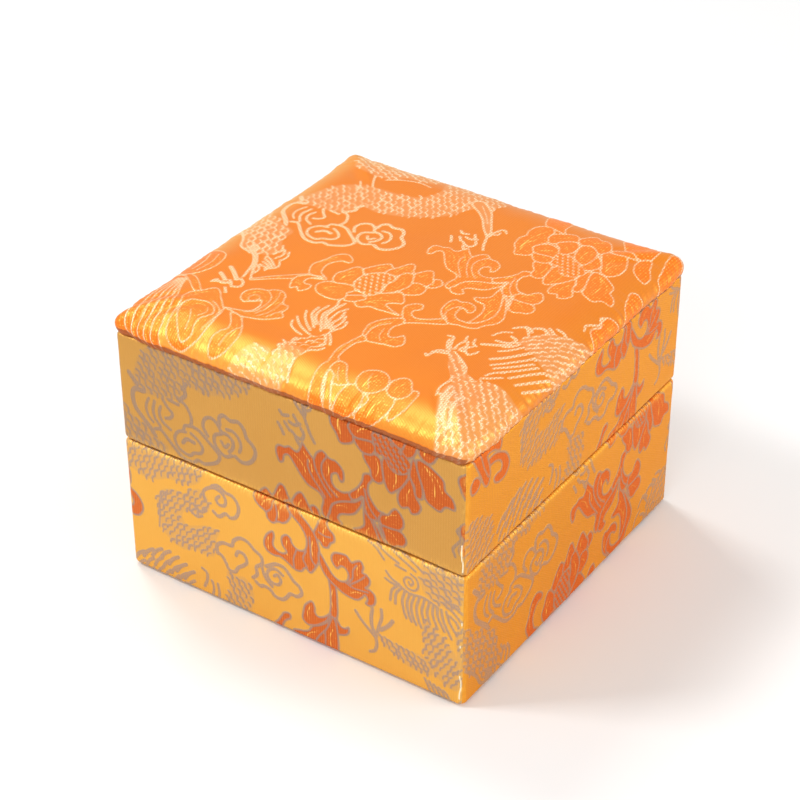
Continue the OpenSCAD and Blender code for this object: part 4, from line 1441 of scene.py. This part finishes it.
# how far in from the corner an ear stands, its width, and its shares outwards and upwards
EAR_IN = 1.5
EAR_WIDTH = 4.5
EAR_OUT = 0.5
EAR_UP = 0.8
# how far in from the edge the painted highlight on the roll starts, and over what length
HIGHLIGHT_START = 9.0
HIGHLIGHT_RUN = 7.0
# length of cloth between the start of the painted shade under the roll and the glued end, on the left and on
# the other sides
TUCK_SHADE_LEFT = 4.6
TUCK_SHADE_OTHER = 3.6


def pad_profile():
    """Distance from the middle and height along the padded top's section, from the middle outwards."""
    flat = PAD_HALF - PAD_ROLL
    top = PAD_HIGH[2] - PAD_CROWN
    path = [(r, top + PAD_CROWN * math.cos(math.pi / 2 * r / flat)) for r in np.linspace(0, flat, 40)]
    drop = top - PAD_FOOT - PAD_BELLY
    for t in np.radians(np.linspace(0, 90, 24)[1:]):
        path.append((flat + PAD_ROLL * math.sin(t) ** 0.9, top - drop * (1 - math.cos(t) ** 1.1)))
    for t in np.radians(np.linspace(0, 90, 7)[1:]):
        path.append((PAD_HALF - PAD_TUCK * (1 - math.cos(t)), PAD_FOOT + PAD_BELLY * (1 - math.sin(t))))
    path.append((PAD_HALF - PAD_TUCK - PAD_GLUED, PAD_FOOT))
    return path


def pad_edge(p, q, rho, reach):
    """Where a highlight is painted on the padded top's roll, and where the painted shade under the roll
    starts.
    """
    roll = unit((rho - (PAD_HALF - HIGHLIGHT_START)) / HIGHLIGHT_RUN)
    # the painted highlight is strongest on the left roll, most of all at its back end, and next on the roll
    # along the hinge
    left_highlight = unit(-q / PAD_HALF) ** 2 * np.clip(1.0 - 0.5 * (p / PAD_HALF + 1), 0.3, 1)
    back_highlight = 0.8 * unit(-p / PAD_HALF) ** 2
    roll_highlight = 0.15 + 0.85 * np.maximum(left_highlight, back_highlight)
    # painted shade under the roll, starting a wandering length of cloth before the glued end, further in on
    # the left
    along = np.where(np.abs(p) > np.abs(q), q, p)
    wander = waves(along, 0 * along, 23, *PAD_WANDER)
    tuck_shade_start = reach + wander - np.where(q < -np.abs(p), TUCK_SHADE_LEFT, TUCK_SHADE_OTHER)
    tuck_shade = unit((rho - tuck_shade_start) / 0.4)
    return roll_highlight * roll * roll * (3 - 2 * roll) + (TUCK_SHADE_EDGE - 1) * tuck_shade


def build_pad():
    """Brocade drawn over the foam, with rolled edges, gathered corners and the pattern painted on."""
    path, length = resample(pad_profile(), 0.1)
    reach = length[-1]
    count = int(round(2 * reach / PAD_GRID)) // 2 * 2 + 1
    axis = np.linspace(-reach, reach, count)
    # p runs over the cloth from the hinge to the front, and q from left to right
    p, q = np.meshgrid(axis, axis)
    rho, corner, big = square_radius(p, q, PAD_SQUARE)
    held = np.minimum(rho, reach)
    out = np.interp(held, length, path[:, 0])
    z = np.interp(held, length, path[:, 1])
    x = p / np.maximum(rho, 1e-9) * out
    y = q / np.maximum(rho, 1e-9) * out
    cloth = Cut(REPEAT_A, p + HALF, q + HALF)
    # folds fan out round each corner, and the long sides dip a little where the cloth is glued
    on_roll = unit((rho - (PAD_HALF - PAD_ROLL - 3)) / 6) * unit((reach - rho) / 3)
    off_middle = 45 - np.degrees(np.arctan(corner))
    depth = 1 + 0.9 * bell(np.hypot(p + PAD_HALF, q + PAD_HALF), DEEP_FOLDS)
    fold = np.cos(np.radians(off_middle * FOLDS_ROUND)) * unit((corner - 0.83) / 0.1) * on_roll * depth
    along = np.where(np.abs(p) > np.abs(q), q, p)
    dips = waves(along, 0 * along, 7, *PAD_DIPS) * on_roll
    lower = unit((rho - (PAD_HALF - GATHERS_IN)) / GATHERS_RUN)
    gathers = waves(along, 0 * along, 17, *PAD_GATHERS) * lower
    lift = cloth.relief() + PAD_FOLD * fold + dips + waves(p, q, 3, *PAD_SOFT) + gathers
    # the bumps stand square to the section and to the plan's outline
    radial = np.stack([p * np.abs(p) ** (PAD_SQUARE - 2), q * np.abs(q) ** (PAD_SQUARE - 2)], -1)
    radial /= np.maximum(big[..., None], 1e-9) ** (PAD_SQUARE - 1)
    radial /= np.maximum(np.linalg.norm(radial, axis=-1, keepdims=True), 1e-9)
    slope_out, slope_z = np.gradient(path, length, axis=0).T
    free = unit((reach - rho) / GLUE_FADE)
    x = x - radial[..., 0] * np.interp(held, length, slope_z) * lift * free
    y = y - radial[..., 1] * np.interp(held, length, slope_z) * lift * free
    z = z + np.interp(held, length, slope_out) * lift * free
    # small ears stand up at the corners where the cloth is folded
    for side_p, side_q, amount in EARS:
        away = np.hypot(side_p * p - (PAD_HALF - EAR_IN), side_q * q - (PAD_HALF - EAR_IN))
        ear = amount * bell(away, EAR_WIDTH) * free
        x = x + side_p * ear * EAR_OUT
        y = y + side_q * ear * EAR_OUT
        z = z + ear * EAR_UP
    obj = make_cloth("padded_top_cloth", np.stack([y, -x, z], -1))
    add_pattern(obj, cloth, pad_edge(p, q, rho, reach))
    finish_piece(obj, TOP_BROCADE, "lid", "brocade_top", "pad_brocade", "pad_foam")


# Hinge cloth

# how far the strip lies off the back, and how far it stops short of the leaves' ends
HINGE_OFF = 0.12
HINGE_END = 1.0


def build_hinge():
    """One strip of brocade across the back, where the lid meets the base."""
    half = LEAF_HIGH[0]
    y = BASE_HIGH[1] + HINGE_OFF
    low, high = LEAF_LOW[2] + HINGE_END, LID_HIGH[2] - HINGE_END
    u, v = np.meshgrid(np.linspace(-half, half, int(2 * half / GRID) + 1),
                       np.linspace(low, high, int((high - low) / GRID) + 1))
    cloth = Cut(REPEAT_A, HALF - u, v + 12)
    tuck = 0.25 * bell(v - HINGE_Z, 0.8)
    lift = cloth.relief() + waves(u, v, 21, *SOFT) * 0.6 - tuck
    obj = make_cloth("hinge_cloth", np.stack([u, y + lift, v], -1), flip=True)
    add_pattern(obj, cloth)
    obj.data.materials.append(SHEEN_SIDE_BROCADE)
    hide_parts("hinge_base_leaf", "hinge_lid_leaf")
    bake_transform(obj)


# Satin inside

# how far each lining's face stands in from the CAD lining's outside
BASE_LINING_T = 1.8
LID_LINING_T = 1.5
SATIN_WAVES = ((23.0, 9.0), (0.12, 0.05))
# where the base's satin starts above its lining's foot, the collar's rounded top, and the turn down its back
LINING_START = 16.0
COLLAR_R = 0.6
COLLAR_TURN = 7.0
# rounding of the lid lining's lower edge
LID_LINING_R = 0.5
# radii of the round well, of the bend at its foot, of its mouth and of the insert's outer edge
WELL_R = 26.0
WELL_FOOT = 1.5
WELL_MOUTH = 4.0
INSERT_EDGE = 1.6
# how far the insert's top sinks under its box and bulges again, and how far its sides go down
INSERT_CROWN = 0.25
INSERT_SKIRT = 10.0
# the well's pleats and the top's stretch marks: length of a round, sizes and amounts
PLEAT_ROUND = 30
PLEATS = ((1.6, 0.9), (0.5, 0.3))
STRETCH_ROUND = 60
STRETCH = ((5.0, 2.4), (0.16, 0.08))
# the ceiling's mesh, its rounded rim and its soft quilting
CEILING_COUNT = 161
CEILING_RIM = 3.0
CEILING_QUILT = ((30.0, 12.0), (0.3, 0.12))
# how square the insert and the ceiling are
INSERT_SQUARE = 26
CEILING_SQUARE = 24


def lining_panel(body, side, face_half, profile, seed):
    """One side of a lining, which puffs gently between its corners."""
    path, length = resample(profile, SATIN_GRID)
    inset, z = path.T
    reach = face_half - 0.05 * (1 - math.pi / 4)
    s = np.linspace(-reach, reach, int(round(2 * reach / SATIN_GRID)) + 1)
    u, v = np.meshgrid(s, length)
    lift = waves(u, v, seed, *SATIN_WAVES) * unit((face_half - np.abs(s)) / 6)
    half = (face_half + inset)[:, None]
    out, along = np.array(SIDES[side])
    xy = (half - np.abs(lift))[..., None] * out + (s * (half / face_half))[..., None] * along
    obj = make_cloth(f"{body}_satin_{side}", np.dstack([xy, z[:, None] + 0 * u]), flip=True)
    set_vectors(obj, "cloth", u, v, 0 * u)
    finish_piece(obj, SATIN, body, "satin", f"{body}_lining_satin")


def build_linings():
    inner = BASE_LINING_HIGH[0] - BASE_LINING_T
    top = BASE_LINING_HIGH[2]
    # the base's collar: up its face, over a rounded top, and down its back
    base = [(0, BASE_LINING_LOW[2] + LINING_START), (0, top - COLLAR_R)]
    for a in np.radians(range(15, 180, 15)):
        base.append((BASE_LINING_T / 2 * (1 - math.cos(a)), top - COLLAR_R + COLLAR_R * math.sin(a)))
    base += [(BASE_LINING_T, top - COLLAR_R), (BASE_LINING_T, top - COLLAR_TURN)]
    low = LID_LINING_LOW[2]
    # the lid's lining: out over its lower edge, and up to the ceiling
    lid = [(LID_LINING_T, low + 0.1), (LID_LINING_R, low)]
    lid += arc_points(LID_LINING_R, low + LID_LINING_R, LID_LINING_R, 270, 180)
    lid += [(0, CEILING_LOW[2] + 2)]
    for index, side in enumerate(SIDES):
        lining_panel("base", side, inner, base, 60 + index)
        lining_panel("lid", side, LID_LINING_HIGH[0] - LID_LINING_T, lid, 70 + index)


def build_insert():
    """Satin drawn over the foam and down into the round well."""
    half, top = INSERT_HIGH[0], INSERT_HIGH[2]
    floor = INSERT_LOW[2] + SATIN_T
    section = [(0.0, floor)]
    section += [(r, floor) for r in np.linspace(2, WELL_R - WELL_FOOT, 14)]
    section += arc_points(WELL_R - WELL_FOOT, floor + WELL_FOOT, WELL_FOOT, 270, 360)[1:]
    section += [(WELL_R, z) for z in np.linspace(floor + 2.2, top - WELL_MOUTH, 12)]
    section += arc_points(WELL_R + WELL_MOUTH, top - WELL_MOUTH, WELL_MOUTH, 180, 90, 9)[1:]
    angles = np.linspace(0, 2 * np.pi, 360, endpoint=False)
    pleat = waves(angles * PLEAT_ROUND / (2 * np.pi), 0 * angles, 11, *PLEATS)
    rings = []
    for r, z in section:
        grip = unit((r - 18) / 8) * np.clip((top - z) / 3, 0.15, 1)
        rings.append((r - np.abs(pleat) * grip * 0.6, z))
    # from the round mouth out to the square edge, over it and down
    power = INSERT_SQUARE
    square = 1 / (np.abs(np.cos(angles)) ** power + np.abs(np.sin(angles)) ** power) ** (1 / power)
    flat = half - INSERT_EDGE
    rest = top - INSERT_CROWN
    for t in (0.04, 0.12, 0.25, 0.4, 0.55, 0.7, 0.85, 0.94, 1.0):
        radius = (WELL_R + WELL_MOUTH) * (1 - t) + flat * square * t
        stretch = waves(angles * STRETCH_ROUND / (2 * np.pi), 0 * angles + t * 4, 12, *STRETCH)
        rings.append((radius, rest + INSERT_CROWN * math.sin(math.pi * t) + stretch * (1 - t * 0.7)))
    for a in np.radians((25, 50, 75, 90)):
        rings.append(((flat + INSERT_EDGE * math.sin(a)) * square, rest - INSERT_EDGE * (1 - math.cos(a))))
    rings.append((half * square, top - INSERT_SKIRT))
    points = np.array([np.stack([radius * np.cos(angles), radius * np.sin(angles), z + 0 * angles], -1)
                       for radius, z in rings])
    x, y, z = np.moveaxis(points, -1, 0)
    depth = run_length(np.stack([np.hypot(x, y).mean(1), z[:, 0]], -1))
    obj = make_cloth("insert_cloth", points, close=True)
    set_vectors(obj, "cloth", x, y + depth[:, None] * 0.2, 0 * x)
    finish_piece(obj, SATIN, "base", "satin", "insert_satin", "insert_foam")


def build_ceiling():
    """Padded satin panel under the lid's top board."""
    half = CEILING_HIGH[0]
    low, high = CEILING_LOW[2], CEILING_HIGH[2]
    axis = np.linspace(-1, 1, CEILING_COUNT)
    p, q = np.meshgrid(axis, axis)
    rho = square_radius(p, q, CEILING_SQUARE)[0]
    rim = unit((1 - rho) * half / CEILING_RIM)
    drop = (high - low) * np.sqrt(unit(1 - (1 - rim) ** 2))
    quilt = waves(p * half, q * half, 31, *CEILING_QUILT) * rim
    z = np.minimum(high - 0.02, high - drop * 0.9 + quilt)
    scale = half / np.maximum(rho, 1)
    obj = make_cloth("ceiling_cloth", np.stack([p * scale, q * scale, z], -1), flip=True)
    set_vectors(obj, "cloth", p * half, q * half, 0 * p)
    finish_piece(obj, SATIN, "lid", "satin", "lid_ceiling_satin", "lid_ceiling_foam")


# Camera, floor and light

FOCAL_PX = 2224.0
FRAME_PX = 800.0
SENSOR_MM = 36.0
CAMERA_AZIMUTH = -55.883
CAMERA_ELEVATION = 33.891
CAMERA_ROLL = -0.1163
CAMERA_DISTANCE = 5.77 * SIDE * MM
CAMERA_TARGET = Vector([share * SIDE * MM for share in (0.1268, 0.1005, 0.3)])
# the white surround, as it lights the box and as it is seen or mirrored
LIT_LEVEL = 0.5
SEEN_LEVEL = 1.0
FLOOR_HALF = 3.0
FLOOR_GAP = 0.0002
FLOOR_GREY = 0.93
LAMP_TARGET = Vector((0, 0, 0.03))
WHITE = (1.0, 1.0, 1.0)
# each lamp's place and size in metres, its power in watts and its colour
LAMPS = {
    "key": ((0.2, 0.47, 0.88), (0.22, 0.3), 2.7, (1.0, 0.98, 0.94)),
    "roll": ((-0.38, 0.48, 0.78), (0.2, 0.2), 3.2, WHITE),
    "left": ((-0.9, -0.2, 0.5), (0.5, 0.5), 2.8, WHITE),
    "fill": ((0.25, -0.9, 0.35), (0.6, 0.5), 3.9, WHITE),
}


def build_camera():
    az, el, roll = (math.radians(a) for a in (CAMERA_AZIMUTH, CAMERA_ELEVATION, CAMERA_ROLL))
    back = Vector((math.sin(az) * math.cos(el), -math.cos(az) * math.cos(el), math.sin(el)))
    level = Vector((math.cos(az), math.sin(az), 0))
    upright = back.cross(level)
    right = level * math.cos(roll) + upright * math.sin(roll)
    up = upright * math.cos(roll) - level * math.sin(roll)
    data = bpy.data.cameras.new("camera")
    data.sensor_width = SENSOR_MM
    data.lens = FOCAL_PX / FRAME_PX * SENSOR_MM
    data.clip_start = 0.01
    camera = bpy.data.objects.new("camera", data)
    bpy.context.scene.collection.objects.link(camera)
    turn = Matrix((right, up, back)).transposed().to_4x4()
    camera.matrix_world = Matrix.Translation(CAMERA_TARGET + back * CAMERA_DISTANCE) @ turn
    bpy.context.scene.camera = camera


def build_world():
    n = Nodes(bpy.data.worlds.new("studio"), "Background")
    bpy.context.scene.world = n.owner
    ray = n.new("LightPath").outputs
    seen = n.math("MAXIMUM", ray["Is Camera Ray"], ray["Is Glossy Ray"])
    seen = n.math("MAXIMUM", seen, ray["Is Transmission Ray"])
    n.put(n.shader.inputs["Color"], WHITE)
    n.put(n.shader.inputs["Strength"], n.times_plus(seen, SEEN_LEVEL - LIT_LEVEL, LIT_LEVEL))


def build_floor():
    corners = [(x * FLOOR_HALF, y * FLOOR_HALF, 0) for x, y in ((-1, -1), (1, -1), (1, 1), (-1, 1))]
    floor = make_object("floor", corners, [(0, 1, 2, 3)])
    floor.location.z = -FLOOR_GAP
    n = Nodes(bpy.data.materials.new("floor_paper"))
    floor.data.materials.append(n.finish(color=(FLOOR_GREY,) * 3, rough=0.9, level=0.2))


def build_lights():
    for name, (place, size, watts, color) in LAMPS.items():
        data = bpy.data.lights.new(name, "AREA")
        data.shape = "RECTANGLE"
        data.size, data.size_y = size
        data.energy = watts
        data.color = color
        light = bpy.data.objects.new(name, data)
        bpy.context.scene.collection.objects.link(light)
        light.location = place
        light.rotation_euler = (LAMP_TARGET - Vector(place)).to_track_quat("-Z", "Y").to_euler()


build_camera()
build_world()
build_floor()
build_lights()
finish_cad_nodes()
build_walls()
build_pad()
build_hinge()
build_linings()
build_insert()
build_ceiling()

bpy.context.scene.view_settings.view_transform = "Standard"
